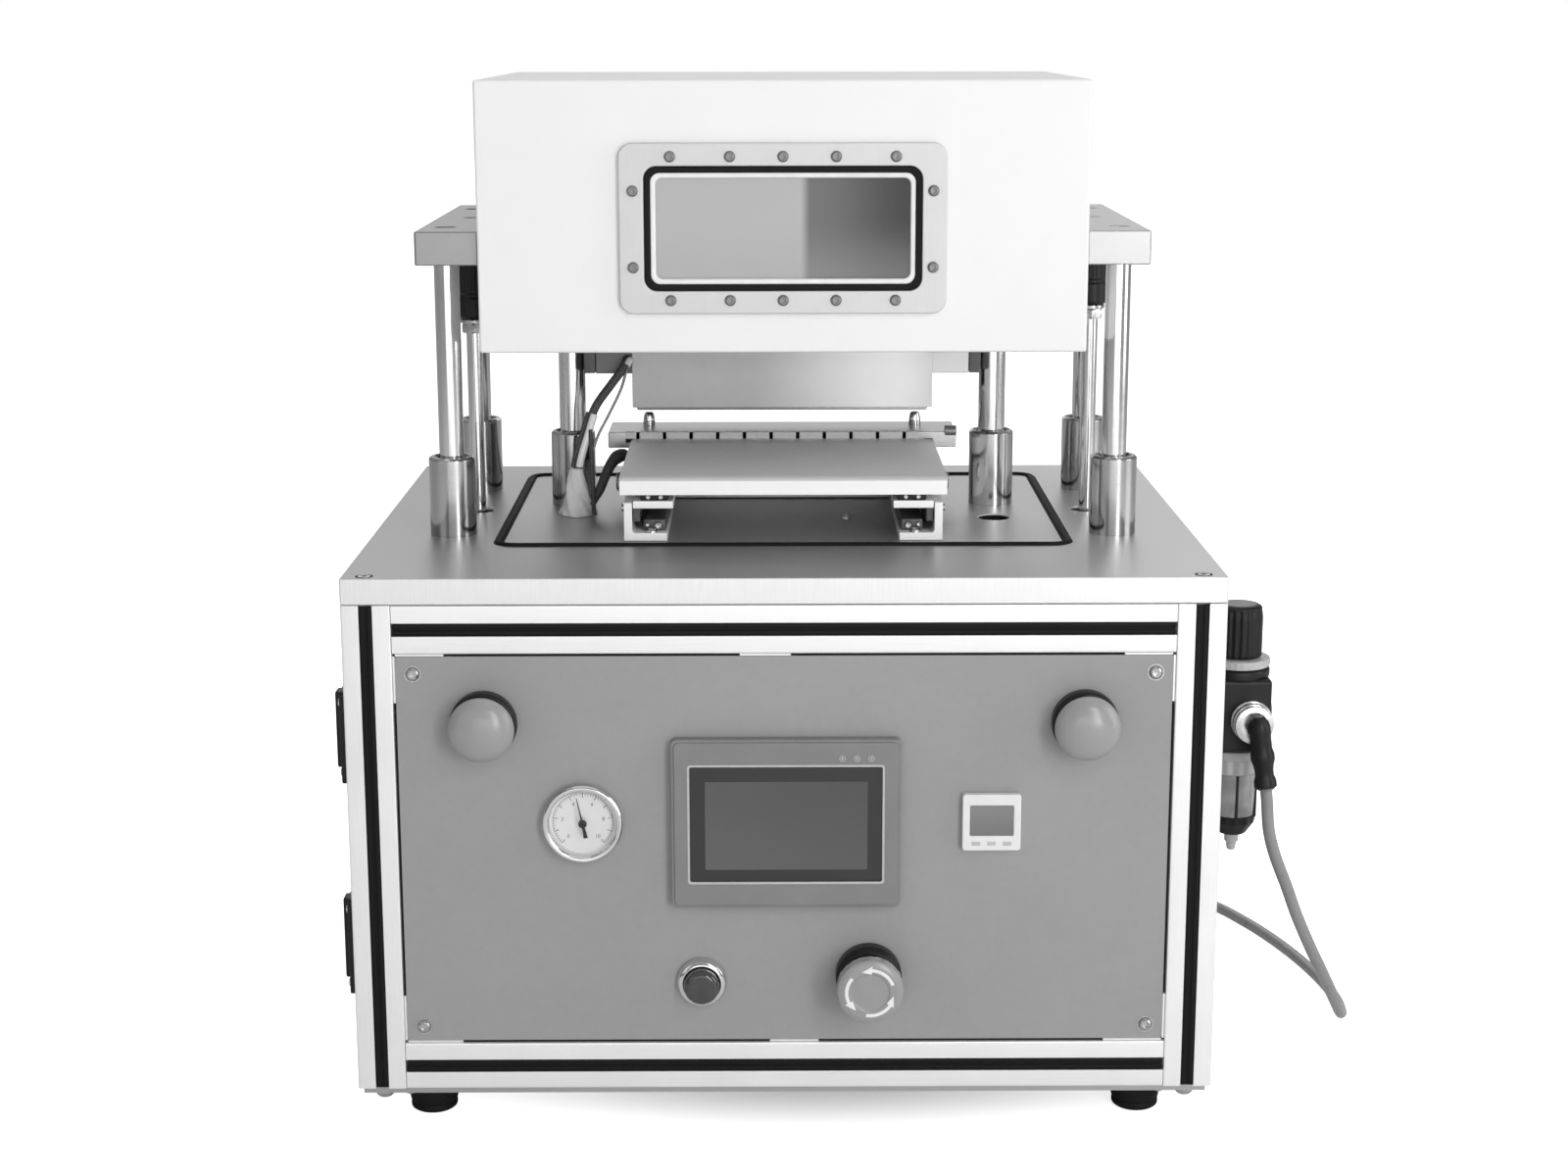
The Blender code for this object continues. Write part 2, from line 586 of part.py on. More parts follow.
def hose():
    """Air hose, the outer shape of its coil, and the quick connector on its end."""
    finish(tube("air_hose", HOSE_STOPS, HOSE_R, 18), HOSE_GREY)
    x, y = COIL
    inner, outer = COIL_INNER - HOSE_R, COIL_OUTER + HOSE_R
    ring = turned("hose_coil", (x, y, 0), [(outer, 16.4), (outer, 0.1), (inner, 0.1), (inner, 16.4)], steps=36)
    enter = rod("coil_lead_in", (x, y - COIL_OUTER, 4.1), HOSE_R, COIL_LEAD - GAP, "X", sides=12)
    plug_r = 8.5
    leave = rod("coil_lead_out", (x, y + COIL_OUTER, plug_r), HOSE_R, COIL_OUT, "X", sides=12)
    join(ring, enter, leave)
    finish(ring, HOSE_GREY)
    plug_x = x + COIL_OUT + GAP
    plug = rod("hose_connector", (plug_x, y + COIL_OUTER, plug_r), plug_r, 42, "X", sides=20)
    nose = rod("connector_nose", (plug_x + 40, y + COIL_OUTER, plug_r), 5.5, 18, "X", sides=20)
    join(plug, nose)
    finish(plug, BRASS)


clear_scene()
PARTS = new_collection("vacuum_sealing_press")
TOOLS = new_collection("cutters")
MACHINE = bpy.data.objects.new("machine", None)
PARTS.objects.link(MACHINE)
MACHINE.location = (-MIDDLE_X * MM, -MIDDLE_Y * MM, 0)

ANODISED = material("anodised_extrusion", (0.83, 0.84, 0.84), 0.35, 1.0)
ALUMINIUM = material("machined_aluminium", (0.75, 0.75, 0.75), 0.35, 1.0)
DECK_GREY = material("satin_deck", (0.42, 0.42, 0.42), 0.4, 0.8)
STEEL = material("brushed_steel", (0.6, 0.6, 0.6), 0.35, 1.0)
CHROME = material("polished_steel", (0.8, 0.8, 0.8), 0.1, 1.0)
WHITE_PAINT = material("white_coat", (0.9, 0.9, 0.9), 0.4)
GREY_PAINT = material("grey_coat", (0.34, 0.34, 0.34), 0.5)
BLACK = material("black_plastic", (0.02, 0.02, 0.02), 0.45)
DARK_PLASTIC = material("dark_plastic", (0.12, 0.12, 0.12), 0.4)
GREY_PLASTIC = material("grey_plastic", (0.35, 0.35, 0.35), 0.35)
WHITE_PLASTIC = material("white_plastic", (0.85, 0.85, 0.85), 0.4)
RUBBER = material("black_rubber", (0.02, 0.02, 0.02), 0.7)
SEALANT = material("pale_sealant", (0.6, 0.6, 0.6), 0.6)
GLASS = material("clear_window", (0.8, 0.85, 0.85), 0.05, 0.0, 0.35)
HOSE_GREY = material("grey_hose", (0.5, 0.5, 0.5), 0.3)
BRASS = material("nickel_fitting", (0.7, 0.68, 0.62), 0.3, 1.0)

cabinet_frame()
cabinet_panels()
side_door()
feet()
deck()
chamber_seal()
tray_and_brackets()
lower_die()
sealing_head()
cables()
vacuum_chamber()
touchscreen()
pressure_gauge()
pressure_display()
palm_buttons()
start_button()
emergency_stop()
regulator()
hose()
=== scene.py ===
"""Benchtop vacuum heat-sealing press for pouch cells: its looks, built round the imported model.

Sizes are in millimetres: X across from the deck's middle, Y back from the deck's front
edge and Z up from the floor. placed() turns them into metres in the model's own frame.
"""
from math import cos, pi, radians, sin

import bmesh
import bpy
import numpy as np
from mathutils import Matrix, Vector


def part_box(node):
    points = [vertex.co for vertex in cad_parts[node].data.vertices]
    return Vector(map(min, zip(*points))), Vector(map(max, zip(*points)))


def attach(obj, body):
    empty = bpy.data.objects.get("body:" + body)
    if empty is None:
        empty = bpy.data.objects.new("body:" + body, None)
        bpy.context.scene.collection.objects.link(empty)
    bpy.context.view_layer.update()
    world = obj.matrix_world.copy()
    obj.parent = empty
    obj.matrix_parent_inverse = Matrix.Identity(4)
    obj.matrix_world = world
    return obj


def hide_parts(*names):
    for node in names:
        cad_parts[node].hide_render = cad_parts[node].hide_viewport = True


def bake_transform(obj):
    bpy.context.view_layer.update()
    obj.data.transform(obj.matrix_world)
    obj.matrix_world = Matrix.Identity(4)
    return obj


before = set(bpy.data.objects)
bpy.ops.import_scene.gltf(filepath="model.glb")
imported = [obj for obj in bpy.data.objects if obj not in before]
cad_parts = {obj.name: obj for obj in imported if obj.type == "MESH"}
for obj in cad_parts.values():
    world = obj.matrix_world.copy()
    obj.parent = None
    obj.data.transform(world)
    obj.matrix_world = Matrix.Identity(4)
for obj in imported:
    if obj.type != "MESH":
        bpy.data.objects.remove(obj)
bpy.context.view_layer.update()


# ---- Size and place -------------------------------------------------------------------
# The deck plate is the machine's datum: everything stands on it, hangs from it or is
# bolted below it. Its six guide bushes stand BUSH_TALL above its top face.

MM = 0.001
BUSH_TALL = 51.0
DECK_LOW, DECK_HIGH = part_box("deck_plate")
MIDDLE = np.array([(DECK_LOW.x + DECK_HIGH.x) / 2, DECK_LOW.y, 0.0])
DECK = DECK_HIGH.z / MM - BUSH_TALL


def placed(points):
    """Machine millimetres as metres in the model's frame."""
    return np.asarray(points, float) * MM + MIDDLE


def span(node):
    """A node's limits along X, Y and Z in machine millimetres, three (low, high) rows."""
    low, high = (np.array(corner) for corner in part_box(node))
    return np.stack([(low - MIDDLE) / MM, (high - MIDDLE) / MM], axis=1)


def middle(node):
    """The middle of a node's limits."""
    return span(node).mean(axis=1)


# ---- Camera, lights and floor ---------------------------------------------------------
# A white bench in a studio: a tall soft light to the right of the camera, fills on both
# sides and in front, one light above and one behind, and a room whose walls are dark in
# places, so that plated posts show bands.

CAMERA_AT = (-7.8, -1488.0, 669.3)
CAMERA_LENS, SENSOR_WIDTH = 58.77, 36.0
CAMERA_DIP, CAMERA_ROLL, CAMERA_TURN = 0.2165, 0.0013, -0.0054
camera = bpy.data.objects.new("camera", bpy.data.cameras.new("camera"))
bpy.context.scene.collection.objects.link(camera)
camera.data.lens, camera.data.sensor_width = CAMERA_LENS, SENSOR_WIDTH
camera.location = placed(CAMERA_AT)
camera.rotation_euler = (pi / 2 - CAMERA_DIP, CAMERA_ROLL, CAMERA_TURN)
bpy.context.scene.camera = camera
bpy.context.scene.view_settings.view_transform = "Standard"

LIGHT_AIM = (0.0, 0.0, 0.3)


def soft_light(name, place, size, power):
    """A rectangular light that faces the machine: its place and its (width, height) are in
    metres and its power in watts."""
    lamp = bpy.data.lights.new(name, "AREA")
    lamp.shape, lamp.size, lamp.size_y, lamp.energy = "RECTANGLE", *size, power
    holder = bpy.data.objects.new(name, lamp)
    bpy.context.scene.collection.objects.link(holder)
    holder.location = place
    direction = holder.location - type(holder.location)(LIGHT_AIM)
    holder.rotation_euler = direction.to_track_quat("Z", "Y").to_euler()


soft_light("tall_light", (1.15, -2.45, 1.25), (0.5, 2.2), 25)
soft_light("left_fill", (-2.3, -1.9, 1.3), (1.6, 1.8), 7)
soft_light("right_fill", (2.4, -0.6, 1.0), (1.2, 1.8), 19)
soft_light("front_fill", (0.3, -3.2, 0.6), (3.0, 1.2), 20)
soft_light("overhead", (0.0, 0.3, 2.6), (2.2, 2.2), 8.5)
soft_light("back_light", (0.2, 2.6, 1.6), (2.6, 1.4), 10)


def grey(value):
    """A neutral colour."""
    return (value, value, value, 1.0)


class Link:
    """A value in a node tree. Python's operators on it add the Math nodes that work it out."""

    def __init__(self, tree, socket):
        self.tree, self.socket = tree, socket

    def math(self, operation, *values):
        """A Math node's answer."""
        node = self.tree.nodes.new("ShaderNodeMath")
        node.operation = operation
        for socket, value in zip(node.inputs, values):
            join_up(self.tree, socket, value)
        return Link(self.tree, node.outputs[0])

    def __add__(self, other): return self.math("ADD", self, other)
    def __sub__(self, other): return self.math("SUBTRACT", self, other)
    def __mul__(self, other): return self.math("MULTIPLY", self, other)
    def __rsub__(self, other): return self.math("SUBTRACT", other, self)
    __radd__, __rmul__ = __add__, __mul__


def join_up(tree, socket, value):
    """Feeds a socket with a Link, or sets it to a plain value."""
    if isinstance(value, Link):
        tree.links.new(value.socket, socket)
    else:
        socket.default_value = value


class Nodes:
    """The nodes of the room or of one material."""

    def __init__(self, tree):
        self.tree = tree

    def add(self, kind, settings=(), out=0, **values):
        """Adds any node: its settings first, then its sockets by name or identifier."""
        node = self.tree.nodes.new(kind)
        for name, value in dict(settings).items():
            if name == "stops":
                ramp = node.color_ramp.elements
                for place, (at, colour) in enumerate(value):
                    mark = ramp[place] if place < 2 else ramp.new(at)
                    mark.position, mark.color = at, colour
            else:
                setattr(node, name, value)
        for name, value in values.items():
            wanted = name.replace("_", " ")
            found = [s for s in node.inputs if s.identifier == name] or \
                    [s for s in node.inputs if s.name == wanted]
            join_up(self.tree, found[0], value)
        outs = [s for s in node.outputs if out in (s.identifier, s.name)]
        return Link(self.tree, outs[0] if outs else node.outputs[out])


# The walls' greys by share of a turn: from behind the machine round its left to the
# camera's side at a half, and on round its right.
ROOM_BANDS = [(0.0, 0.62), (0.16, 0.55), (0.24, 0.16), (0.34, 0.22), (0.42, 0.46), (0.50, 0.40),
              (0.53, 0.5), (0.56, 1.0), (0.61, 1.0), (0.64, 0.34), (0.73, 0.12), (0.80, 0.45), (1.0, 0.62)]
CEILING_FROM, CEILING_FULL, CEILING_GREY = 0.25, 0.8, 0.75
ROOM_STRENGTH = 0.5
world = bpy.data.worlds.new("room")
world.use_nodes = True
bpy.context.scene.world = world
room = Nodes(world.node_tree)
toward = room.add("ShaderNodeTexCoord", {}, "Generated")
across, back, up = (room.add("ShaderNodeSeparateXYZ", {}, axis, Vector=toward) for axis in "XYZ")
turn = room.add("ShaderNodeMapRange", {}, "Result", Value=across.math("ARCTAN2", across, back * -1.0),
                From_Min=-pi, From_Max=pi)
walls = room.add("ShaderNodeValToRGB", {"stops": [(at, grey(level)) for at, level in ROOM_BANDS]}, "Color",
                 Fac=turn)
height = room.add("ShaderNodeMapRange", {}, "Result", Value=up, From_Min=CEILING_FROM, From_Max=CEILING_FULL)
surround = room.add("ShaderNodeMix", {"data_type": "RGBA"}, "Result_Color", Factor_Float=height,
                    A_Color=walls, B_Color=grey(CEILING_GREY))
lit = room.add("ShaderNodeBackground", {}, "Background", Color=surround, Strength=ROOM_STRENGTH)
backdrop = room.add("ShaderNodeBackground", {}, "Background", Color=grey(1.0), Strength=1.0)
seen = room.add("ShaderNodeLightPath", {}, "Is Camera Ray")
either = room.add("ShaderNodeMixShader", {}, "Shader", Fac=seen, Shader=lit, Shader_001=backdrop)
join_up(world.node_tree, world.node_tree.nodes["World Output"].inputs["Surface"], either)
world.node_tree.nodes.remove(world.node_tree.nodes["Background"])


class Finish(Nodes):
    """One surface finish: a material with a Principled shader and what feeds it."""

    def __init__(self, name, roughness=0.5, metallic=0.0, **gloss):
        self.material = bpy.data.materials.new(name)
        self.material.use_nodes = True
        super().__init__(self.material.node_tree)
        self.shader = self.tree.nodes["Principled BSDF"]
        self.set(Roughness=roughness, Metallic=metallic, **gloss)
        self.place = self.add("ShaderNodeTexCoord", out="Object")

    def set(self, **values):
        """Feeds the shader's sockets; an underscore in a name stands for its space."""
        for name, value in values.items():
            join_up(self.tree, self.shader.inputs[name.replace("_", " ")], value)

    def stretched(self, scale):
        """Object coordinates multiplied by a scale along each axis."""
        return self.add("ShaderNodeVectorMath", {"operation": "MULTIPLY"}, "Vector",
                        Vector=self.place, Vector_001=scale)

    def noise(self, size, detail=2.0, stretch=(1.0, 1.0, 1.0)):
        """Soft random pattern between 0 and 1 with features of that size in millimetres."""
        return self.add("ShaderNodeTexNoise", {}, "Fac", Vector=self.stretched(stretch),
                        Scale=1 / (size * MM), Detail=detail)

    def along(self, axis):
        """The X, Y or Z coordinate, in metres."""
        return self.add("ShaderNodeSeparateXYZ", {}, axis, Vector=self.place)

    def step(self, value, low, high):
        """0 below low, 1 above high and a smooth rise between."""
        return self.add("ShaderNodeMapRange", {"interpolation_type": "SMOOTHSTEP"}, "Result",
                        Value=value, From_Min=low, From_Max=high)

    def tone(self, pattern, dark, light):
        """Colours the surface between two greys by a pattern."""
        mixed = self.add("ShaderNodeMix", {"data_type": "RGBA"}, "Result_Color",
                         Factor_Float=pattern, A_Color=grey(dark), B_Color=grey(light))
        self.set(Base_Color=mixed)
        return self

    def relief(self, pattern, depth):
        """Raises the surface by a pattern, depth in millimetres."""
        self.set(Normal=self.add("ShaderNodeBump", {}, "Normal", Height=pattern, Strength=1.0,
                                 Distance=depth * MM))
        return self


def skin(rows, hollow=False):
    """A closed surface from rows of points: each row is a ring joined to the next by quads.
    The end rows are filled, or joined to each other on a hollow form."""
    rows = np.asarray(rows, float)
    count, around = rows.shape[:2]
    index = np.arange(count * around).reshape(count, around)
    above = np.roll(index, -1, axis=0) if hollow else index[1:]
    below = index if hollow else index[:-1]
    quads = np.stack([below, np.roll(below, -1, 1), np.roll(above, -1, 1), above], -1).reshape(-1, 4)
    ends = [] if hollow else [index[0, ::-1].tolist(), index[-1].tolist()]
    return rows.reshape(-1, 3), quads.tolist() + ends


MERGE, UPWARD, SHARP_DEGREES = 0.002, 0.9, 35


def piece(name, parts, body, stands_for=(), sides=None):
    """Makes one object of closed shells: parts is a list of (finish, shell, shell...).
    sides is a second finish for every face that doesn't look up. A piece that bends
    between two bodies is made with no body of its own."""
    mesh = bpy.data.meshes.new(name)
    points, faces, finish_of, start = [], [], [], 0
    for index, (finish, *shells) in enumerate(parts):
        mesh.materials.append(finish.material)
        for shell_points, shell_faces in shells:
            points.append(shell_points)
            faces += [[corner + start for corner in face] for face in shell_faces]
            finish_of += [index] * len(shell_faces)
            start += len(shell_points)
    mesh.from_pydata(placed(np.concatenate(points)).tolist(), [], faces)
    mesh.polygons.foreach_set("material_index", np.array(finish_of, np.int32))
    work = bmesh.new()
    work.from_mesh(mesh)
    bmesh.ops.remove_doubles(work, verts=work.verts, dist=MERGE * MM)
    bmesh.ops.recalc_face_normals(work, faces=work.faces)
    work.to_mesh(mesh)
    work.free()
    if sides:
        mesh.materials.append(sides.material)
        facing = np.zeros(len(mesh.polygons) * 3, np.float32)
        mesh.polygons.foreach_get("normal", facing)
        chosen = np.zeros(len(mesh.polygons), np.int32)
        mesh.polygons.foreach_get("material_index", chosen)
        chosen[facing[2::3] < UPWARD] = len(mesh.materials) - 1
        mesh.polygons.foreach_set("material_index", chosen)
    mesh.shade_smooth()
    mesh.set_sharp_from_angle(angle=radians(SHARP_DEGREES))
    made = bpy.data.objects.new(name, mesh)
    bpy.context.scene.collection.objects.link(made)
    flat = made.modifiers.new("flat faces", "WEIGHTED_NORMAL")
    flat.keep_sharp = True
    if body:
        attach(made, body)
    if stands_for:
        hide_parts(*([stands_for] if isinstance(stands_for, str) else stands_for))
    return made


FLOOR_HALF = 12.0
BENCH_WHITE_FROM = 0.34
floor_mesh = bpy.data.meshes.new("bench_top")
floor_corners = [(x * FLOOR_HALF, y * FLOOR_HALF, 0) for x, y in ((-1, -1), (1, -1), (1, 1), (-1, 1))]
floor_mesh.from_pydata(floor_corners, [], [(0, 1, 2, 3)])
bench = Finish("bench_white", 0.55)
bench.tone(bench.noise(180, 3), 0.88, 0.92)
bench_far = bench.add("ShaderNodeVectorMath", {"operation": "LENGTH"}, "Value", Vector=bench.place)
bench_seen = bench.add("ShaderNodeLightPath", {}, "Is Camera Ray")
bench_glow = bench.add("ShaderNodeMix", {"data_type": "RGBA"}, "Result_Color",
                       Factor_Float=bench.step(bench_far, 0.0, BENCH_WHITE_FROM) * bench_seen,
                       A_Color=grey(0.0), B_Color=grey(1.0))
bench.set(Emission_Color=bench_glow, Emission_Strength=1.0)
floor_mesh.materials.append(bench.material)
floor = bpy.data.objects.new("bench_top", floor_mesh)
bpy.context.scene.collection.objects.link(floor)


# ---- Air hose -------------------------------------------------------------------------
# Grey 8 mm polyurethane hose. It drops out of the elbow in an easy bow, runs back along
# the bench and ends in a neat coil behind the cabinet, with a plated quick connector.

HOSE_R = 4.0
HOSE_STOPS = [
    (313.8, 110, 184.6), (315, 110, 175), (317, 110, 155), (322, 111, 137), (330.5, 113, 116),
    (339, 116, 94), (349.5, 121, 71), (361, 128, 48), (371, 138, 28), (379, 152, 12.5),
    (384, 170, 5.2), (386, 192, 4.1), (385, 218, 4.1), (381, 248, 4.1), (374, 282, 4.1),
    (364, 318, 4.1), (351, 354, 4.1), (335, 388, 4.1), (314, 414, 4.1), (288, 430, 4.1),
    (262, 436.4, 4.1), (235, 437, 4.1),
]
COIL = (205.0, 486.0)
COIL_INNER, COIL_OUTER, COIL_TURNS, COIL_STEP = 41.0, 49.0, 3.5, 7.5
INWARD, CLIMB, OUTWARD = (300, 360), (585, 660), (960, 1020)
LAYER_LOW, LAYER_HIGH = 4.1, 12.2
TAIL = [(9, 12.1), (18, 11.3), (27, 9.6), (36.3, 8.5)]


def smooth_route(stops, per_span=8):
    """The Catmull-Rom curve through the stops: each span is a cubic of its four nearest."""
    stops = np.asarray(stops, float)
    knots = np.vstack([2 * stops[0] - stops[1], stops, 2 * stops[-1] - stops[-2]])
    a, b, c, d = (knots[i:len(knots) - 3 + i, None] for i in range(4))
    t = np.linspace(0, 1, per_span, endpoint=False)[None, :, None]
    curve = 0.5 * (2 * b + (c - a) * t + (2 * a - 5 * b + 4 * c - d) * t ** 2
                   + (3 * b - a - 3 * c + d) * t ** 3)
    return np.vstack([curve.reshape(-1, 3), stops[-1]])


def eased(value, low, high):
    """0 up to low, 1 from high, and a smooth rise between."""
    t = np.clip((value - low) / (high - low), 0, 1)
    return t * t * (3 - 2 * t)


def coil_route():
    """Three and a half turns, clockwise from the near side: out and in on the bench, then
    on top of those from the inside out. The radius changes between the two bearings of
    INWARD and of OUTWARD, and the height between those of CLIMB."""
    degrees = COIL_STEP * np.arange(1, int(COIL_TURNS * 360 / COIL_STEP) + 1)
    inward = eased(degrees, *INWARD) - eased(degrees, *OUTWARD)
    radius = COIL_OUTER + (COIL_INNER - COIL_OUTER) * inward
    level = LAYER_LOW + (LAYER_HIGH - LAYER_LOW) * eased(degrees, *CLIMB)
    angle = -pi / 2 - np.radians(degrees)
    return np.column_stack([COIL[0] + radius * np.cos(angle), COIL[1] + radius * np.sin(angle), level])


def frames_along(path, closed=False):
    """Two directions across a path at each point, carried along it without twist."""
    ahead = (np.roll(path, -1, 0) - np.roll(path, 1, 0)) if closed else np.gradient(path, axis=0)
    ahead /= np.linalg.norm(ahead, axis=1)[:, None]
    side = np.cross(ahead[0], (0, 0, 1) if abs(ahead[0][2]) < 0.9 else (0, 1, 0))
    sides = []
    for direction in ahead:
        side = side - direction * np.dot(side, direction)
        side = side / np.linalg.norm(side)
        sides.append(side)
    sides = np.array(sides)
    return sides, np.cross(sides, ahead)


def circle(radius, steps=16, centre=(0.0, 0.0)):
    """Points round a circle, counter-clockwise."""
    angle = np.linspace(0, 2 * pi, steps, endpoint=False)
    return np.column_stack([np.cos(angle), np.sin(angle)]) * radius + centre


def swept(path, section, closed=False, swell=1.0):
    """A section carried along a path; swell is the section's scale at each point."""
    path, section = np.asarray(path, float), np.asarray(section, float)
    across, above = frames_along(path, closed)
    size = np.broadcast_to(np.asarray(swell, float), (len(path),))[:, None, None]
    rows = path[:, None] + size * (section[None, :, :1] * across[:, None]
                                   + section[None, :, 1:] * above[:, None])
    return skin(rows, closed)


into_coil = [(COIL[0] + x, HOSE_STOPS[-1][1], LAYER_LOW) for x in (22, 14, 7, 0)]
out_of_coil = [(COIL[0] + x, COIL[1] + COIL_OUTER, z) for x, z in TAIL]
hose_path = np.vstack([smooth_route(HOSE_STOPS), into_coil, coil_route(), out_of_coil])

hose_finish = Finish("grey_hose", 0.28, 0.0, Coat_Weight=0.3, Coat_Roughness=0.12, Specular_IOR_Level=0.6)
hose_cloud = hose_finish.noise(14, 3)
hose_finish.tone(hose_cloud, 0.21, 0.28)
hose_finish.set(Roughness=0.22 + hose_cloud * 0.16)
hose_finish.relief(hose_finish.noise(1.6, 2), 0.02)
hose = piece("pneumatic_hose", [(hose_finish, swept(hose_path, circle(HOSE_R, 16)))], "root",
             ("air_hose", "hose_coil"))

# Where a form's own X, Y and Z point when its Z is laid along each axis.
AXES = {
    "Z": ((1, 0, 0), (0, 1, 0), (0, 0, 1)), "-Z": ((1, 0, 0), (0, -1, 0), (0, 0, -1)),
    "Y": ((-1, 0, 0), (0, 0, 1), (0, 1, 0)), "-Y": ((1, 0, 0), (0, 0, 1), (0, -1, 0)),
    "X": ((0, 1, 0), (0, 0, 1), (1, 0, 0)), "-X": ((0, -1, 0), (0, 0, 1), (-1, 0, 0)),
}


def softened(points, radius, steps=3, closed=False):
    """Rounds the corners of a line of points: each becomes a curve that starts and ends a
    radius away from it, or half way along a shorter side."""
    points = np.asarray(points, float)
    before, after = np.roll(points, 1, 0) - points, np.roll(points, -1, 0) - points
    reach = np.broadcast_to(np.asarray(radius, float), (len(points),)).copy()
    if not closed:
        reach[[0, -1]] = 0.0
    sizes = [np.linalg.norm(side, axis=1) for side in (before, after)]
    ends = [side / np.maximum(size, 1e-9)[:, None] * np.minimum(reach, size * 0.49)[:, None]
            for side, size in zip((before, after), sizes)]
    t = np.linspace(0, 1, steps + 1)[None, :, None]
    curve = points[:, None] + ends[0][:, None] * (1 - t) ** 2 + ends[1][:, None] * t ** 2
    curve = curve.reshape(-1, points.shape[1])
    moved = np.linalg.norm(np.diff(curve, axis=0, prepend=curve[-1:] + (0 if closed else 9)), axis=1)
    return curve[moved > 1e-4]


def turned(profile, centre, axis="Z", steps=48, hollow=False, ribs=0, rib_depth=0.0, ribbed=None):
    """A turned form: (radius, height) points swung round an axis. Ribs are a ripple round
    the rim, between the two heights in ribbed."""
    radius, height = np.asarray(profile, float).T
    angle = np.linspace(0, 2 * pi, steps, endpoint=False)
    reach = np.repeat(radius[:, None], steps, 1)
    if ribs:
        low, high = ribbed or (height.min() - 1, height.max() + 1)
        held = ((height >= low) & (height <= high))[:, None]
        reach = reach - held * rib_depth * (0.5 - 0.5 * np.cos(ribs * angle))[None]
    grid = np.stack([reach * np.cos(angle), reach * np.sin(angle),
                     np.repeat(height[:, None], steps, 1)], -1)
    return skin(grid @ np.array(AXES[axis], float) + np.asarray(centre, float), hollow)


nickel = Finish("nickel_fitting", 0.24, 1.0)
nickel_cloud = nickel.noise(3, 3)
nickel.tone(nickel_cloud, 0.58, 0.74).relief(nickel.noise(0.8, 2), 0.01)
nickel.set(Roughness=0.16 + nickel_cloud * 0.2)
connector_profile = softened(
    [(0, -0.4), (5.6, -0.4), (8.4, 3), (8.4, 15), (7.0, 16), (7.0, 19), (8.5, 20.5), (8.5, 34), (7.6, 36),
     (7.6, 41), (5.4, 42.5), (5.4, 55), (4.2, 58), (2.4, 58), (2.4, 50), (0, 50)], 0.6)
connector_form = turned(connector_profile, out_of_coil[-1], "X", 72, ribs=24, rib_depth=0.45,
                        ribbed=(20.4, 34.1))
connector = piece("quick_connector", [(nickel, connector_form)], "root", "hose_connector")


# ---- Cabinet frame --------------------------------------------------------------------
# Twelve lengths of clear-anodised 30 mm aluminium extrusion with 8 mm T-slots, bolted at
# the corners. Black strips are pressed into the slots that show.

FRAME_X, FRAME_Y, FRAME_Z = span("cabinet_frame")
BAR = 30.0
HALF_BAR = BAR / 2


def shell_of(thing):
    """An object's finished mesh as a shell: its points and its faces."""
    made = bpy.data.meshes.new_from_object(thing.evaluated_get(bpy.context.evaluated_depsgraph_get()))
    points = np.zeros(len(made.vertices) * 3, np.float32)
    made.vertices.foreach_get("co", points)
    faces = [list(face.vertices) for face in made.polygons]
    bpy.data.meshes.remove(made)
    return points.reshape(-1, 3).astype(float), faces


def plate(loops, low, high, axis="Z", edge=0.4, steps=1):
    """A flat part cut to an outline, with holes: loops are points in the two directions
    across the axis, low and high its faces along it, and edge rounds its rims."""
    curve = bpy.data.curves.new("outline", "CURVE")
    curve.dimensions, curve.fill_mode = "2D", "BOTH"
    curve.extrude, curve.bevel_depth, curve.offset = (high - low) / 2 - edge, edge, -edge
    curve.bevel_resolution = steps
    for loop in loops:
        spline = curve.splines.new("POLY")
        spline.points.add(len(loop) - 1)
        flat = np.column_stack([loop, np.zeros(len(loop)), np.ones(len(loop))])
        spline.points.foreach_set("co", flat.astype(np.float32).ravel())
        spline.use_cyclic_u = True
    holder = bpy.data.objects.new("outline", curve)
    bpy.context.scene.collection.objects.link(holder)
    points, faces = shell_of(holder)
    bpy.data.objects.remove(holder)
    bpy.data.curves.remove(curve)
    sign = -1 if axis[0] == "-" else 1
    return (points + (0, 0, sign * (low + high) / 2)) @ np.array(AXES[axis], float), faces


def slotted_bar():
    """The outline of the extrusion: one side's T-slot and the corner after it, turned four
    times about the middle."""
    slot = [(4.1, 15), (4.1, 13), (8.2, 13), (8.2, 11.6), (4.3, 7.7)]
    other_half = [(-x, y) for x, y in reversed(slot)]
    side = np.array([*slot, *other_half, (-13.6, 15), (-14.6, 14.6), (-15, 13.6)], float)
    quarter = np.array([(0, 1), (-1, 0)], float)
    return np.vstack([side @ np.linalg.matrix_power(quarter, turns) for turns in range(4)])


def extrusion(across, low, high, axis):
    """A cut length of extrusion whose middle is at across, in the outline's directions."""
    return plate([slotted_bar() + across, circle(3.4, 16, across)], low, high, axis, 0.15, 0)


def anodised(name, grain):
    """Clear anodising over die lines that run along the bar: grain shrinks that axis."""
    finish = Finish(name, 0.4, 0.55, Specular_IOR_Level=0.5)
    lines, cloud = finish.noise(0.7, 3, grain), finish.noise(45, 3)
    finish.tone(lines * 0.6 + cloud * 0.4, 0.80, 0.93).relief(lines, 0.012)
    finish.set(Roughness=0.30 + lines * 0.12 + cloud * 0.1)
    return finish


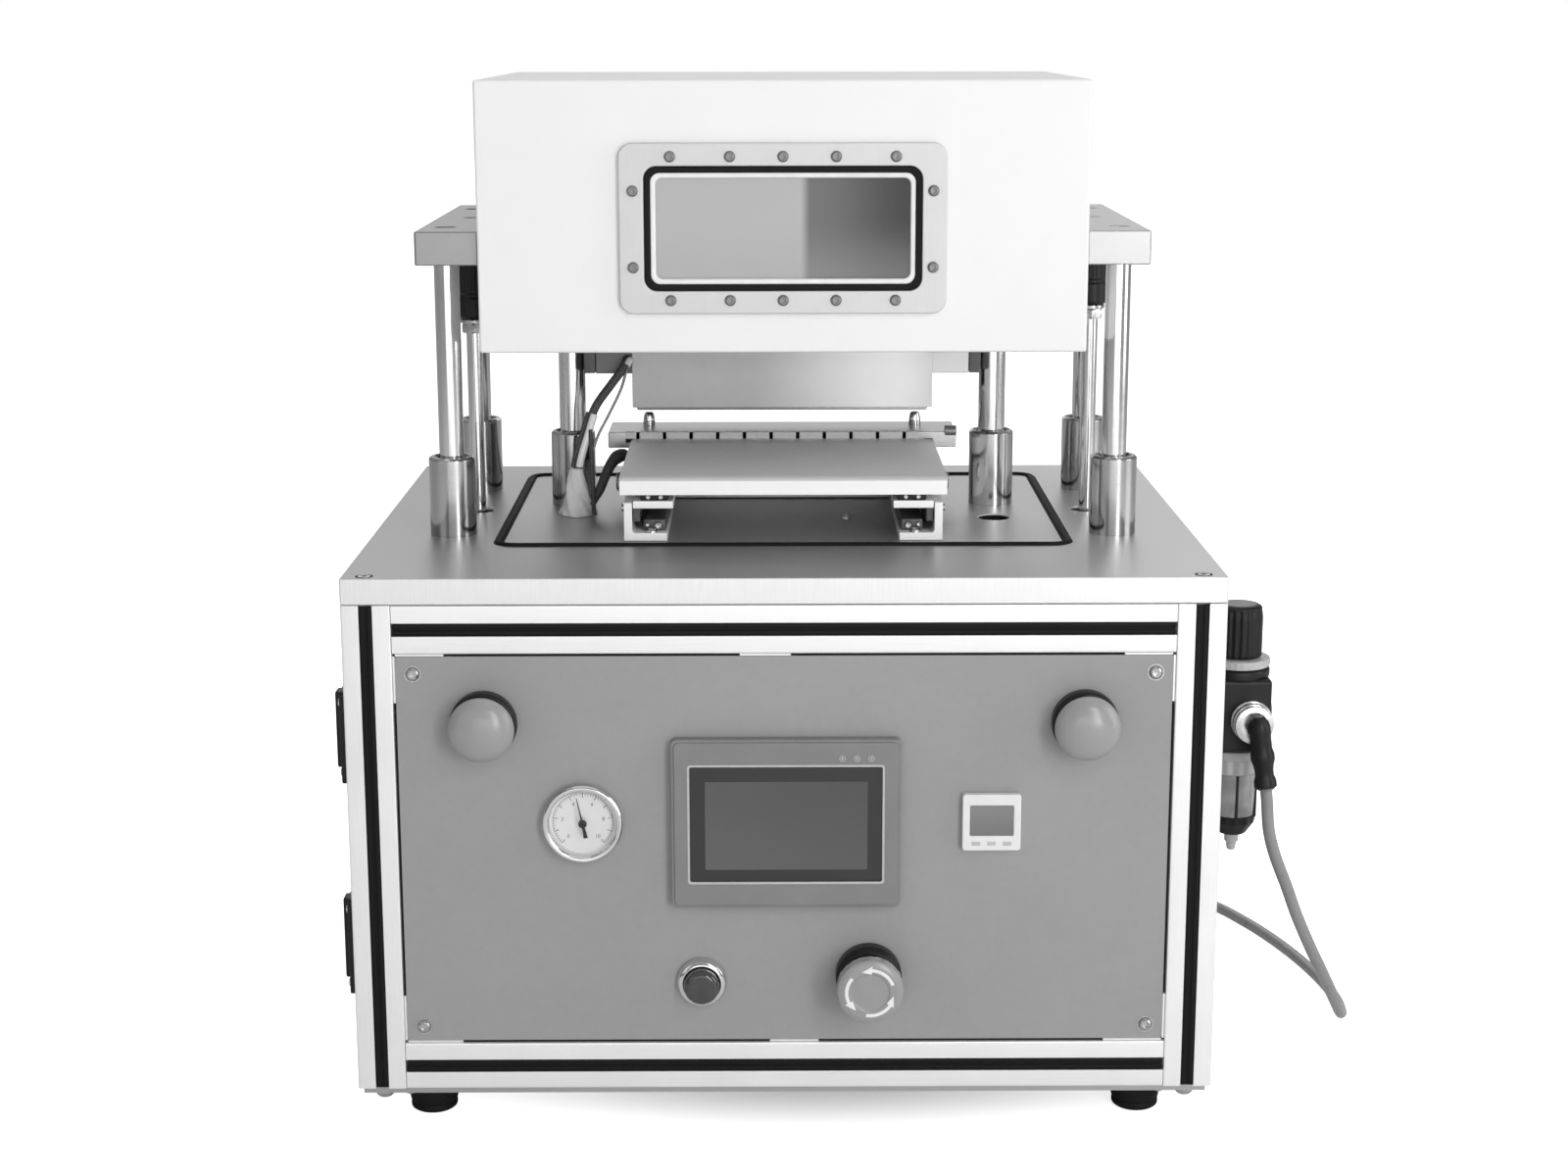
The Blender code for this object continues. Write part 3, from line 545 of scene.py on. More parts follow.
anodised_x = anodised("anodised_cross_rail", (0.02, 1, 1))
anodised_y = anodised("anodised_side_rail", (1, 0.02, 1))
anodised_z = anodised("anodised_upright", (1, 1, 0.02))
bar_x = [FRAME_X[0] + HALF_BAR, FRAME_X[1] - HALF_BAR]
bar_y = [FRAME_Y[0] + HALF_BAR, FRAME_Y[1] - HALF_BAR]
bar_z = [FRAME_Z[0] + HALF_BAR, FRAME_Z[1] - HALF_BAR]
JOINT_GAP = 0.12
inner_x = (FRAME_X[0] + BAR + JOINT_GAP, FRAME_X[1] - BAR - JOINT_GAP)
inner_y = (FRAME_Y[0] + BAR + JOINT_GAP, FRAME_Y[1] - BAR - JOINT_GAP)
piece("frame_uprights", [(anodised_z, *[extrusion((x, y), *FRAME_Z, "Z") for x in bar_x for y in bar_y])],
      "root", "cabinet_frame")
piece("frame_cross_rails", [(anodised_x, *[extrusion((y, z), *inner_x, "X") for y in bar_y for z in bar_z])],
      "root")
piece("frame_side_rails", [(anodised_y, *[extrusion((-x, z), *inner_y, "Y") for x in bar_x for z in bar_z])],
      "root")

black_strip = Finish("black_slot_strip", 0.5, 0.0, Specular_IOR_Level=0.16)
strip_grain = black_strip.noise(1.2, 2)
black_strip.tone(strip_grain, 0.003, 0.008).relief(strip_grain, 0.03)
strip_half = [(3.95, -2.4), (3.95, -0.7), (3.4, -0.25), (2.2, -0.1), (1.0, -0.25), (0.5, -0.75)]
STRIP_SECTION = np.array([(-3.95, -2.4), *strip_half, *[(-x, y) for x, y in strip_half[:0:-1]]])


def slot_strip(start, end, outward):
    """A moulded strip with a groove down its middle, pressed into a slot from start to end."""
    start, end, outward = (np.asarray(v, float) for v in (start, end, outward))
    across = np.cross(outward, (end - start) / np.linalg.norm(end - start))
    offsets = STRIP_SECTION[:, :1] * across + STRIP_SECTION[:, 1:] * outward
    return skin(np.stack([start + offsets, end + offsets]))


strips = []
upright_z = (FRAME_Z[0] + 1, FRAME_Z[1] - 1)
for side, x in zip((-1, 1), FRAME_X):
    for outward, y in zip((-1, 1), FRAME_Y):
        upright_x = x - side * HALF_BAR
        strips.append(slot_strip((upright_x, y, upright_z[0]), (upright_x, y, upright_z[1]), (0, outward, 0)))
    strips += [slot_strip((x, y, upright_z[0]), (x, y, upright_z[1]), (side, 0, 0)) for y in bar_y]
    strips += [slot_strip((x, inner_y[0] + 1, z), (x, inner_y[1] - 1, z), (side, 0, 0)) for z in bar_z]
for outward, y in zip((-1, 1), FRAME_Y):
    strips += [slot_strip((inner_x[0] + 1, y, z), (inner_x[1] - 1, y, z), (0, outward, 0)) for z in bar_z]
piece("slot_strips", [(black_strip, *strips)], "root")


# ---- Screws ---------------------------------------------------------------------------
# Stainless socket screws: domed button heads on sheet parts, plain flush heads in plates.
# Each is turned, with a hexagon driven into its top.

SCREW_STEPS = 24


def hexagon(angle, half_width):
    """How far a hexagon reaches at each angle: half its width across flats over the cosine
    of the angle to its nearest flat's middle."""
    return half_width / np.cos((angle + pi / 6) % (pi / 3) - pi / 6)


def screw(centre, axis, radius, tall, socket=0.5, flush=False):
    """A screw head: rows rise over the rim, cross to the hexagon and drop to its floor."""
    angle = np.linspace(0, 2 * pi, SCREW_STEPS, endpoint=False)
    key = hexagon(angle, radius * socket * 0.88)
    if flush:
        outer = [(1.0, 0), (1.0, 0.9), (0.97, 1.0)]
    else:
        outer = [(1.0, 0), (1.0, 0.16), (0.94, 0.45), (0.8, 0.78), (0.64, 1.0)]
    rows = [(np.full(SCREW_STEPS, radius * share), level) for share, level in outer]
    rows += [(key * 1.04, 1.0), (key * 0.99, 0.94), (key * 0.99, 0.35), (key * 0.0, 0.25)]
    grid = np.stack([np.column_stack([reach * np.cos(angle), reach * np.sin(angle),
                                      np.full(SCREW_STEPS, tall * level)]) for reach, level in rows])
    return skin(grid @ np.array(AXES[axis], float) + np.asarray(centre, float))


stainless = Finish("stainless_screw", 0.25, 1.0)
stainless_cloud = stainless.noise(2.5, 3)
stainless.tone(stainless_cloud, 0.42, 0.62).relief(stainless.noise(0.5, 2), 0.008)
stainless.set(Roughness=0.2 + stainless_cloud * 0.15)

base_low = span("base_plate")[2][0]
bolt_y = (bar_y[0] - 4, bar_y[1] + 4)
frame_bolts = [screw((x, y, base_low), "-Z", 6.5, 4.6) for x in bar_x for y in bolt_y]
frame_bolts += [screw((x, bolt_y[0], base_low), "-Z", 4.2, 3.0) for x in (bar_x[0] + 16, bar_x[1] - 16)]
piece("frame_bolts", [(stainless, *frame_bolts)], "root")


# ---- Base plate, feet -----------------------------------------------------------------
# A steel plate closes the cabinet below. Four moulded rubber feet are screwed up into it.

def sheet_steel(name, dark, light, roughness):
    """Ground sheet: fine lines across X over broad clouds."""
    finish = Finish(name, roughness, 0.9)
    lines, cloud = finish.noise(0.5, 3, (0.03, 1, 1)), finish.noise(60, 4)
    finish.tone(lines * 0.5 + cloud * 0.5, dark, light).relief(lines, 0.006)
    finish.set(Roughness=roughness - 0.06 + lines * 0.12)
    return finish


base_steel = sheet_steel("base_steel", 0.36, 0.52, 0.4)


def recoat(node, finish):
    """Gives a CAD node that keeps its own shape a made finish."""
    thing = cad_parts[node]
    thing.data.materials.clear()
    thing.data.materials.append(finish.material)


recoat("base_plate", base_steel)

rubber = Finish("black_rubber", 0.62, 0.0, Specular_IOR_Level=0.16)
rubber_grain = rubber.noise(0.8, 3)
rubber.tone(rubber_grain, 0.004, 0.012).relief(rubber_grain, 0.05)
FOOT_PROFILE = softened([(0, 0), (12.5, 0), (14.5, 1.5), (14.7, 4), (13.6, 5.2), (14.9, 6.4), (15.8, 17),
                         (16, 19.7), (0, 19.7)], 0.7)
foot_nodes = ["foot_%s_%s" % (row, side) for row in ("front", "rear") for side in ("left", "right")]
feet = [turned(FOOT_PROFILE, (*middle(node)[:2], 0), "Z", 40) for node in foot_nodes]
piece("rubber_feet", [(rubber, *feet)], "root", foot_nodes)


# ---- Sheet covers ---------------------------------------------------------------------
# Front, right and rear covers and the left access door: 3 mm sheet in a grey textured
# powder coat. The front one sits in a soft seam and is held by four button-head screws.

def powder_coat(name, dark, light):
    """Powder coat: orange peel a millimetre across over a slight broad mottle."""
    finish = Finish(name, 0.46, 0.0, Specular_IOR_Level=0.45)
    peel, mottle, cloud = finish.noise(1.1, 2), finish.noise(5, 3), finish.noise(70, 3)
    finish.tone(mottle * 0.45 + cloud * 0.55, dark, light).relief(peel, 0.05)
    finish.set(Roughness=0.40 + mottle * 0.16)
    return finish


def rounded(x, y, corner, steps=6):
    """A rectangle between x and y limits whose corners are quarter circles."""
    angle = np.linspace(0, pi / 2, steps + 1)
    signs = np.array([(1, 1), (-1, 1), (-1, -1), (1, -1)], float)
    centre = np.array([(x[0] + x[1]) / 2, (y[0] + y[1]) / 2])
    reach = np.array([(x[1] - x[0]) / 2 - corner, (y[1] - y[0]) / 2 - corner])
    turns = angle[None] + np.arange(4)[:, None] * pi / 2
    arcs = np.stack([np.cos(turns), np.sin(turns)], -1) * corner
    return (centre + signs[:, None] * reach + arcs).reshape(-1, 2)


def block(x, y, z, edge=0.6, steps=2):
    """A rounded box: each point is a corner's centre plus the edge radius times a direction
    that swings through that corner's eighth of a ball."""
    part = np.linspace(0, pi / 2, steps + 1)
    up = np.concatenate([part - pi / 2, part])
    level = np.repeat([-1.0, 1.0], steps + 1)
    round_by = (part[None] + np.arange(4)[:, None] * pi / 2).ravel()
    sign_x, sign_y = (np.repeat(s, steps + 1) for s in ([1.0, -1, -1, 1], [1.0, 1, -1, -1]))
    middles = [(low + high) / 2 for low, high in (x, y, z)]
    reach = [(high - low) / 2 - edge for low, high in (x, y, z)]
    heights = middles[2] + level * reach[2] + edge * np.sin(up)
    grid = np.stack([
        middles[0] + sign_x * reach[0] + edge * np.cos(up)[:, None] * np.cos(round_by),
        middles[1] + sign_y * reach[1] + edge * np.cos(up)[:, None] * np.sin(round_by),
        np.repeat(heights[:, None], len(round_by), 1),
    ], -1)
    return skin(grid)


grey_coat = powder_coat("grey_powder_coat", 0.285, 0.345)
panel = span("front_panel")
FACE = panel[1][0]
piece("front_cover", [(grey_coat, plate([rounded(panel[0], panel[2], 1.5, 3)], *panel[1], "-Y", 0.5))],
      "root", "front_panel")
for node in ("right_panel", "rear_panel", "side_door"):
    recoat(node, grey_coat)

SCREW_X, SCREW_Z = (-223.0, 223.0), (DECK - 58.5, DECK - 283.0)
COVER_SCREW = (4.1, 2.3)
front_screw_at = [(x, FACE, z) for x in SCREW_X for z in SCREW_Z]
cover_screws = [screw(at, "-Y", *COVER_SCREW) for at in front_screw_at]
washer_section = [(4.4, 0), (5.2, 0), (5.2, 0.35), (4.4, 0.35)]
cover_washers = [turned(washer_section, at, "-Y", 32, hollow=True) for at in front_screw_at]
piece("cover_screws", [(stainless, *cover_screws, *cover_washers)], "root")

SEAM = (panel[0][0] - FRAME_X[0] - BAR) - 0.1
TOP_SEALS, BOTTOM_SEALS, SIDE_SEAL = ((-204, -27), (4, 204)), ((-199, -9.5), (21, 197)), (85.0, 271.0)
seal_y, tab_y = (FACE + 0.9, FACE + 2.6), (FACE + 0.2, FACE + 2.6)
seam_top = (panel[2][1] + 0.05, panel[2][1] + SEAM)
seam_bottom = (panel[2][0] - SEAM, panel[2][0] - 0.05)
seam_black, seam_light = [], []
for rail, stretches in ((seam_top, TOP_SEALS), (seam_bottom, BOTTOM_SEALS)):
    seam_black += [block(x, seal_y, rail, 0.2, 1) for x in stretches]
    edges = [panel[0][0], *[x for pair in stretches for x in pair], panel[0][1]]
    seam_light += [block((a + 0.2, b - 0.2), tab_y, rail, 0.2, 1) for a, b in zip(edges[::2], edges[1::2])]
for side in (0, 1):
    seam_x = sorted((panel[0][side], panel[0][side] + (SEAM if side else -SEAM)))
    seam_black.append(block(seam_x, seal_y, SIDE_SEAL, 0.2, 1))
    seam_light += [block(seam_x, tab_y, z, 0.2, 1)
                   for z in ((panel[2][0], SIDE_SEAL[0] - 0.3), (SIDE_SEAL[1] + 0.3, panel[2][1]))]
piece("cover_seam_seals", [(black_strip, *seam_black)], "root")
piece("cover_seam_tabs", [(anodised_x, *seam_light)], "root")


# ---- Rear power inlet -----------------------------------------------------------------
# A moulded mains inlet on the rear cover: three blades in its recess and two screws.

plastic_black = Finish("black_moulding", 0.36, 0.0, Specular_IOR_Level=0.3)
moulded_grain = plastic_black.noise(0.6, 2)
plastic_black.tone(plastic_black.noise(12, 3), 0.005, 0.014).relief(moulded_grain, 0.015)
plastic_black.set(Roughness=0.32 + moulded_grain * 0.12)
INLET_X, INLET_Z, BLADE_SIDE = 156.0, 94.0, 7.0
rear_face = span("rear_panel")[1][1]
# The outline's first direction runs to -X on a part that faces the rear.
inlet_ring = plate([rounded((INLET_X - 24, INLET_X + 24), (INLET_Z - 14, INLET_Z + 14), 4),
                    rounded((INLET_X - 14, INLET_X + 14), (INLET_Z - 8, INLET_Z + 8), 3)],
                   rear_face - 1, rear_face + 0.25, "Y", 0.3)
blade_places = [(0, INLET_Z + 2.5), (-BLADE_SIDE, INLET_Z - 2.5), (BLADE_SIDE, INLET_Z - 2.5)]
blade_y, floor_y = (rear_face - 9.5, rear_face - 2.5), (rear_face - 9.9, rear_face - 9.4)
blades = [block((x - INLET_X - 1.2, x - INLET_X + 1.2), blade_y, (z - 3, z + 3), 0.4, 1)
          for x, z in blade_places]
inlet_floor = block((-INLET_X - 15, 15 - INLET_X), floor_y, (INLET_Z - 9, INLET_Z + 9), 0.2, 1)
inlet_screws = [screw((x, rear_face, INLET_Z), "Y", 2.6, 1.6) for x in (-INLET_X - 20, 20 - INLET_X)]
piece("power_inlet", [(plastic_black, inlet_ring, inlet_floor), (nickel, *blades),
                      (stainless, *inlet_screws)], "root")
INLET_PROUD = 9.0
cover_y, cover_x = rear_face - INLET_PROUD, span("right_panel")[0][1]
rear_screws = [screw((x, cover_y, z), "Y", *COVER_SCREW) for x in SCREW_X for z in SCREW_Z]
right_screws = [screw((cover_x, y, z), "X", *COVER_SCREW) for y in (42, 358) for z in SCREW_Z]
piece("outer_cover_screws", [(stainless, *rear_screws, *right_screws)], "root")


# ---- Door hinges ----------------------------------------------------------------------
# Two black die-cast hinges on the left: a fixed leaf on the upright with two screws, a
# knuckle round a steel pin, and a thin leaf that is part of the door.

PIN_INSET, KNUCKLE_R, KNUCKLES = (4.3, 3.6), 3.6, 3
for place in ("upper", "lower"):
    x, y, z = span("hinge_" + place)
    knuckle_x, knuckle_y = x[0] + PIN_INSET[0], y[1] - PIN_INSET[1]
    tall = z[1] - z[0]
    pitch = (tall - 10) / KNUCKLES
    knuckle = softened([(0, 0), (KNUCKLE_R, 0), (KNUCKLE_R, pitch - 0.5), (0, pitch - 0.5)], 0.5)
    barrels = [turned(knuckle, (knuckle_x, knuckle_y, z[0] + 8 + pitch * count), "Z", 24)
               for count in range(KNUCKLES)]
    pin_profile = [(0, 0), (1.6, 0), (1.6, tall - 9), (0, tall - 9)]
    pin = turned(pin_profile, (knuckle_x, knuckle_y, z[0] + 8.3), "Z", 16)
    leaf = plate([rounded((0.6 - knuckle_y, -y[0]), z, 2.5)], x[1] - 4.6, x[1], "-X", 0.5)
    rib = block((x[0] + 0.2, x[1] - 3), (y[0] + 6, knuckle_y - 1), (z[0] + 9, z[1] - 1), 1.2)
    leaf_screws = [screw((x[1] - 4.4, y[0] + 3.6, height), "-X", 2.4, 1.0, flush=True)
                   for height in (z[0] + 7, z[1] - 7)]
    piece("door_hinge_" + place, [(plastic_black, *barrels, leaf, rib), (stainless, *leaf_screws, pin)],
          "root", "hinge_" + place)


# ---- Deck -----------------------------------------------------------------------------
# A 16 mm steel plate, ground and then matt-nickel plated. Its milled edges stay bright.
# A black rubber ring for the chamber's rim lies in a groove round the working area, and
# rubber lines the vacuum port and wipes the lift rods.

deck_x, deck_y, deck_z = span("deck_plate")
post_nodes = ["guide_post_%s_%s" % (side, row) for side in ("left", "right") for row in ("front", "rear")]
press_nodes = ["press_post_left", "press_post_right"]
LIFTS = [middle("lift_rod_" + side)[:2] for side in ("left", "right")]
POSTS = [middle(node)[:2] for node in post_nodes]
PRESS_POSTS = [middle(node)[:2] for node in press_nodes]
PORT = (141.0, 192.0)

deck_finish = Finish("satin_deck", 0.36, 0.75)
deck_lines, deck_cloud = deck_finish.noise(0.9, 3, (0.04, 1, 1)), deck_finish.noise(80, 4)
# Painted light: the deck's colour grows lighter towards the right, where the light falls more strongly.
deck_painted_light = deck_finish.step(deck_finish.along("X"), MIDDLE[0] - 90 * MM, MIDDLE[0] + 280 * MM)
deck_finish.tone(deck_lines * 0.12 + deck_cloud * 0.28 + deck_painted_light * 0.6, 0.40, 0.66)
deck_finish.relief(deck_finish.noise(0.5, 2), 0.008)
deck_finish.set(Roughness=0.30 + deck_lines * 0.07 + deck_cloud * 0.08)
milled = Finish("milled_edge", 0.34, 0.6)
milled_lines = milled.noise(1.2, 3, (1, 1, 0.05))
milled.tone(milled_lines, 0.73, 0.84).relief(milled_lines, 0.01)
deck_holes = [circle(10.5, 40, xy) for xy in (*LIFTS, PORT)]
deck_holes += [circle(10, 32, xy) for xy in (*POSTS, *PRESS_POSTS)]
deck_form = plate([rounded(deck_x, deck_y, 1.2, 3), *deck_holes], deck_z[0], DECK, "Z", 0.8, 2)
piece("deck_top", [(deck_finish, deck_form)], "root", "deck_plate", sides=milled)

SEAL_HALF, SEAL_CORNER = 2.5, 11
seal_span = [(low + SEAL_HALF, high - SEAL_HALF) for low, high in span("chamber_seal")[:2]]
seal_line = rounded(*seal_span, SEAL_CORNER, 10)
seal_path = np.column_stack([seal_line, np.full(len(seal_line), DECK)])
SEAL_SECTION = [(-2.3, -1.5), (2.3, -1.5), (2.3, 0.2), (1.9, 1.1), (1.0, 1.7), (0, 1.8), (-1.0, 1.7),
                (-1.9, 1.1), (-2.3, 0.2)]
# Painted shade: a thin dark rubber band at deck level, wider than the seal, stands in for the shadow in the
# seal's groove.
GROOVE_SHADE_SECTION = [(-3.4, -0.5), (3.4, -0.5), (3.4, 0.06), (-3.4, 0.06)]
piece("rim_seal", [(rubber, swept(seal_path, SEAL_SECTION, True))], "root", "chamber_seal")
piece("seal_groove_shade", [(rubber, swept(seal_path, GROOVE_SHADE_SECTION, True))], "root")

deck_screw_at = [(x, y) for x in (deck_x[0] + 14, deck_x[1] - 14) for y in (8, deck_y[1] - 8)]
deck_screws = [screw((*xy, DECK - 1.7), "Z", 4.0, 1.9, flush=True) for xy in deck_screw_at]
shadow_profile = [(0, 0), (5.4, 0), (5.4, 0.07), (0, 0.07)]
screw_shadows = [turned(shadow_profile, (*xy, DECK), "Z", 36) for xy in deck_screw_at]
# This screw head takes the pale milled finish as a painted highlight on its dome.
lone_screw_painted_highlight = screw((42, 190, DECK - 0.2), "Z", 3.2, 2.1)
piece("deck_screws", [(stainless, *deck_screws), (milled, lone_screw_painted_highlight), (rubber, *screw_shadows)],
      "root")
lining_profile = [(0, 0), (10.4, 0), (10.4, 14), (9.2, 14), (9.2, 1.5), (0, 1.5)]
port_lining = turned(lining_profile, (*PORT, DECK - 14.6), "Z", 40)
wiper_section = [(5.5, 0), (10.3, 0), (10.3, 8), (5.5, 8)]
lift_wipers = [turned(wiper_section, (*xy, DECK - 9.5), "Z", 40, hollow=True) for xy in LIFTS]
piece("deck_hole_linings", [(rubber, port_lining, *lift_wipers)], "root")


# ---- Guide bushes and posts -----------------------------------------------------------
# Hardened chromed posts slide in ground steel bushes that stand on the deck. Each bush
# has a chamfered mouth with a black wiper ring.

def polished(name, dark, light, ring_size=0.9, depth=0.004):
    """Ground and plated: very fine rings round Z under a mirror, with faint clouds."""
    finish = Finish(name, 0.12, 1.0)
    rings, cloud = finish.noise(ring_size, 2, (0.02, 0.02, 1)), finish.noise(9, 3)
    finish.tone(rings * 0.5 + cloud * 0.5, dark, light).relief(rings, depth)
    finish.set(Roughness=0.09 + rings * 0.06 + cloud * 0.04)
    return finish


chrome = polished("chromed_post", 0.66, 0.78)
ground_steel = polished("ground_bush", 0.44, 0.58, 0.7, 0.006)
BUSH_R, GUIDE_R, PRESS_R = 15.0, 8.0, 9.0


def bush(xy, bore):
    """A sleeve on the deck: foot, long wall, chamfered mouth and open bore."""
    mouth = BUSH_TALL - 2.2
    profile = softened([(BUSH_R, 0), (BUSH_R, BUSH_TALL - 1.6), (BUSH_R - 1.6, BUSH_TALL),
                        (bore + 3.4, BUSH_TALL), (bore + 2.6, mouth), (bore + 0.25, mouth),
                        (bore + 0.25, 0)], 0.35)
    return turned(profile, (*xy, DECK + 0.05), "Z", 64, hollow=True)


def wiper(xy, bore):
    """The rubber lip in a bush's mouth."""
    profile = [(bore + 0.3, -3), (bore + 2.5, -3), (bore + 2.5, -1.6), (bore + 0.4, -1.0)]
    return turned(profile, (*xy, DECK + BUSH_TALL), "Z", 48, hollow=True)


guides = [(xy, GUIDE_R) for xy in POSTS] + [(xy, PRESS_R) for xy in PRESS_POSTS]
piece("guide_bushes", [(ground_steel, *[bush(xy, bore) for xy, bore in guides])], "root")
piece("bush_wipers", [(rubber, *[wiper(xy, bore) for xy, bore in guides])], "root")


def post(node):
    """A round bar in a node's place, with its lower end chamfered."""
    x, y, z = span(node)
    radius, tall = (x[1] - x[0]) / 2, z[1] - z[0]
    profile = softened([(0, 0), (radius - 1, 0), (radius, 1), (radius, tall), (0, tall)], 0.3)
    return turned(profile, (x.mean(), y.mean(), z[0]), "Z", 64)


for name, body, nodes in (("guide", "chamber", post_nodes), ("press", "press_head", press_nodes)):
    posts = [post(node) for node in nodes]
    piece("chromed_%s_posts" % name, [(chrome, *posts)], body, nodes)


# ---- Wings ----------------------------------------------------------------------------
# Two milled aluminium bars screwed to the chamber's sides, the left one coloured darker as painted shade. The
# guide posts are bolted into them from above, with their cap screws sunk in counterbores.

def cut_metal(name, grain=(0.05, 1, 1), roughness=0.34, metallic=0.85):
    """A metal's relief and gloss: a fine directional cut under broad clouds. Its colour is
    left to the caller, with the two patterns."""
    finish = Finish(name, roughness, metallic)
    cut, cloud = finish.noise(0.8, 3, grain), finish.noise(24, 3)
    finish.relief(cut, 0.01)
    finish.set(Roughness=roughness - 0.06 + cut * 0.12 + cloud * 0.05)
    return finish, cut, cloud


def machined(name, dark, light, *surface):
    """Milled metal between two greys."""
    finish, cut, cloud = cut_metal(name, *surface)
    return finish.tone(cut * 0.45 + cloud * 0.55, dark, light)


# The left bar's darker greys are painted shade; both bars are the same aluminium.
WING_METALS = {"left": machined("aluminium_painted_shade", 0.27, 0.37, (1, 0.05, 1)),
               "right": machined("milled_aluminium", 0.42, 0.54, (1, 0.05, 1))}
aluminium = WING_METALS["right"]
for side, metal in WING_METALS.items():
    x, y, z = span("wing_" + side)
    bores = [xy for xy in POSTS if x[0] < xy[0] < x[1]]
    lift = [xy for xy in LIFTS if x[0] < xy[0] < x[1]][0]
    holes = [circle(6.6, 32, xy) for xy in bores] + [circle(5.2, 28, lift)]
    wing = plate([rounded(x, y, 1.5, 3), *holes], *z, "Z", 0.9, 2)
    caps = [screw((*xy, z[1] - 7.2), "Z", 6.1, 6.0, 0.55, True) for xy in bores]
    caps += [screw((*lift, z[1] - 5.6), "Z", 4.9, 4.4, 0.55, True)]
    piece("milled_wing_" + side, [(metal, wing), (stainless, *caps)], "chamber",
          "wing_" + side)


# ---- Lift rods ------------------------------------------------------------------------
# The piston rods that raise the chamber. Each ends in a black floating coupling with a
# jam nut and a plated washer under the wing.

NUT_STEPS = 36


def hexagon_nut(centre, across, tall):
    """A nut: six flats with its top and bottom corners turned off."""
    angle = np.linspace(0, 2 * pi, NUT_STEPS, endpoint=False)
    flat, corner = hexagon(angle, across / 2), across / 2 / cos(pi / 6)
    outline = [(0.0, 0), (across / 2, 0), (corner, 0.14), (corner, 0.86), (across / 2, 1), (0.0, 1)]
    rows = [np.column_stack([np.minimum(reach, flat) * np.cos(angle), np.minimum(reach, flat) * np.sin(angle),
                             np.full(NUT_STEPS, tall * level)]) for reach, level in outline]
    return skin(np.stack(rows) + np.asarray(centre, float))


def disc(radius, tall, centre, axis="Z", steps=40, edge=0.4, low=0.0):
    """A plain round part from low to tall along its axis, its rims rounded by edge."""
    return turned(softened([(0, low), (radius, low), (radius, tall), (0, tall)], edge), centre, axis, steps)


# The coupling's length below the wing: the left one is screwed further out.
for side, (x, y), coupling in (("left", LIFTS[0], 46.0), ("right", LIFTS[1], 37.0)):
    z = span("lift_rod_" + side)[2]
    wing_low = span("wing_" + side)[2][0]
    rod_top, sleeve_low, sleeve_tall = z[1] - z[0] - 30, wing_low - coupling, coupling - 5.5
    shaft = turned(softened([(0, 0), (15.3, 0), (15.3, 12), (5, 12), (5, rod_top), (0, rod_top)], 0.5),
                   (x, y, z[0]), "Z", 48)
    sleeve_profile = softened([(0, 0), (8.6, 0), (10.8, 2), (10.8, 14), (9.9, 15), (9.9, 17), (10.8, 18),
                               (10.8, sleeve_tall - 1.5), (9, sleeve_tall), (0, sleeve_tall)], 0.6)
    sleeve = turned(sleeve_profile, (x, y, sleeve_low), "Z", 64, ribs=32, rib_depth=0.35,
                    ribbed=(18, sleeve_tall - 1.3))
    washer = disc(9.2, 2.4, (x, y, sleeve_low - 2.5))
    collar = disc(9.6, 5.0, (x, y, wing_low - 5.3), edge=0.5)
    piece("lift_shaft_" + side, [(chrome, shaft, collar), (plastic_black, sleeve),
                                 (stainless, washer, hexagon_nut((x, y, sleeve_low - 9.2), 15, 6.5))],
          "chamber", "lift_rod_" + side)


# ---- Vacuum chamber -------------------------------------------------------------------
# A box milled from one block, open below, in white satin enamel. A window is let into
# its front wall.

def carved(shell, *cutters):
    """A shell with others cut out of it by a Boolean, as a shell again."""
    objects = []
    for points, faces in (shell, *cutters):
        mesh = bpy.data.meshes.new("stock")
        mesh.from_pydata(points.tolist(), [], faces)
        work = bmesh.new()
        work.from_mesh(mesh)
        bmesh.ops.remove_doubles(work, verts=work.verts, dist=0.001)
        bmesh.ops.recalc_face_normals(work, faces=work.faces)
        work.to_mesh(mesh)
        work.free()
        objects.append(bpy.data.objects.new("stock", mesh))
        bpy.context.scene.collection.objects.link(objects[-1])
    for cutter in objects[1:]:
        cut = objects[0].modifiers.new("cut", "BOOLEAN")
        cut.operation, cut.solver, cut.object = "DIFFERENCE", "EXACT", cutter
    made = shell_of(objects[0])
    for thing in objects:
        bpy.data.objects.remove(thing)
    return made


enamel = Finish("white_enamel", 0.36, 0.0, Specular_IOR_Level=0.5)
enamel_peel, enamel_cloud = enamel.noise(1.6, 2), enamel.noise(90, 3)
enamel.tone(enamel_cloud, 0.84, 0.90).relief(enamel_peel, 0.035)
enamel.set(Roughness=0.34 + enamel_cloud * 0.12)

chamber_x, chamber_y, chamber_z = span("chamber_box")
glass_x, glass_y, glass_z = span("window_glass")
rim_x, rim_y, rim_z = span("window_frame")
WINDOW_Z = float(glass_z.mean())
WALL, POCKET_DEEP = 15.0, 8.0


def about(centre, half_x, half_z, corner, steps=5):
    """A rounded rectangle given by its middle and half sizes."""
    x, z = centre
    return rounded((x - half_x, x + half_x), (z - half_z, z + half_z), corner, steps)


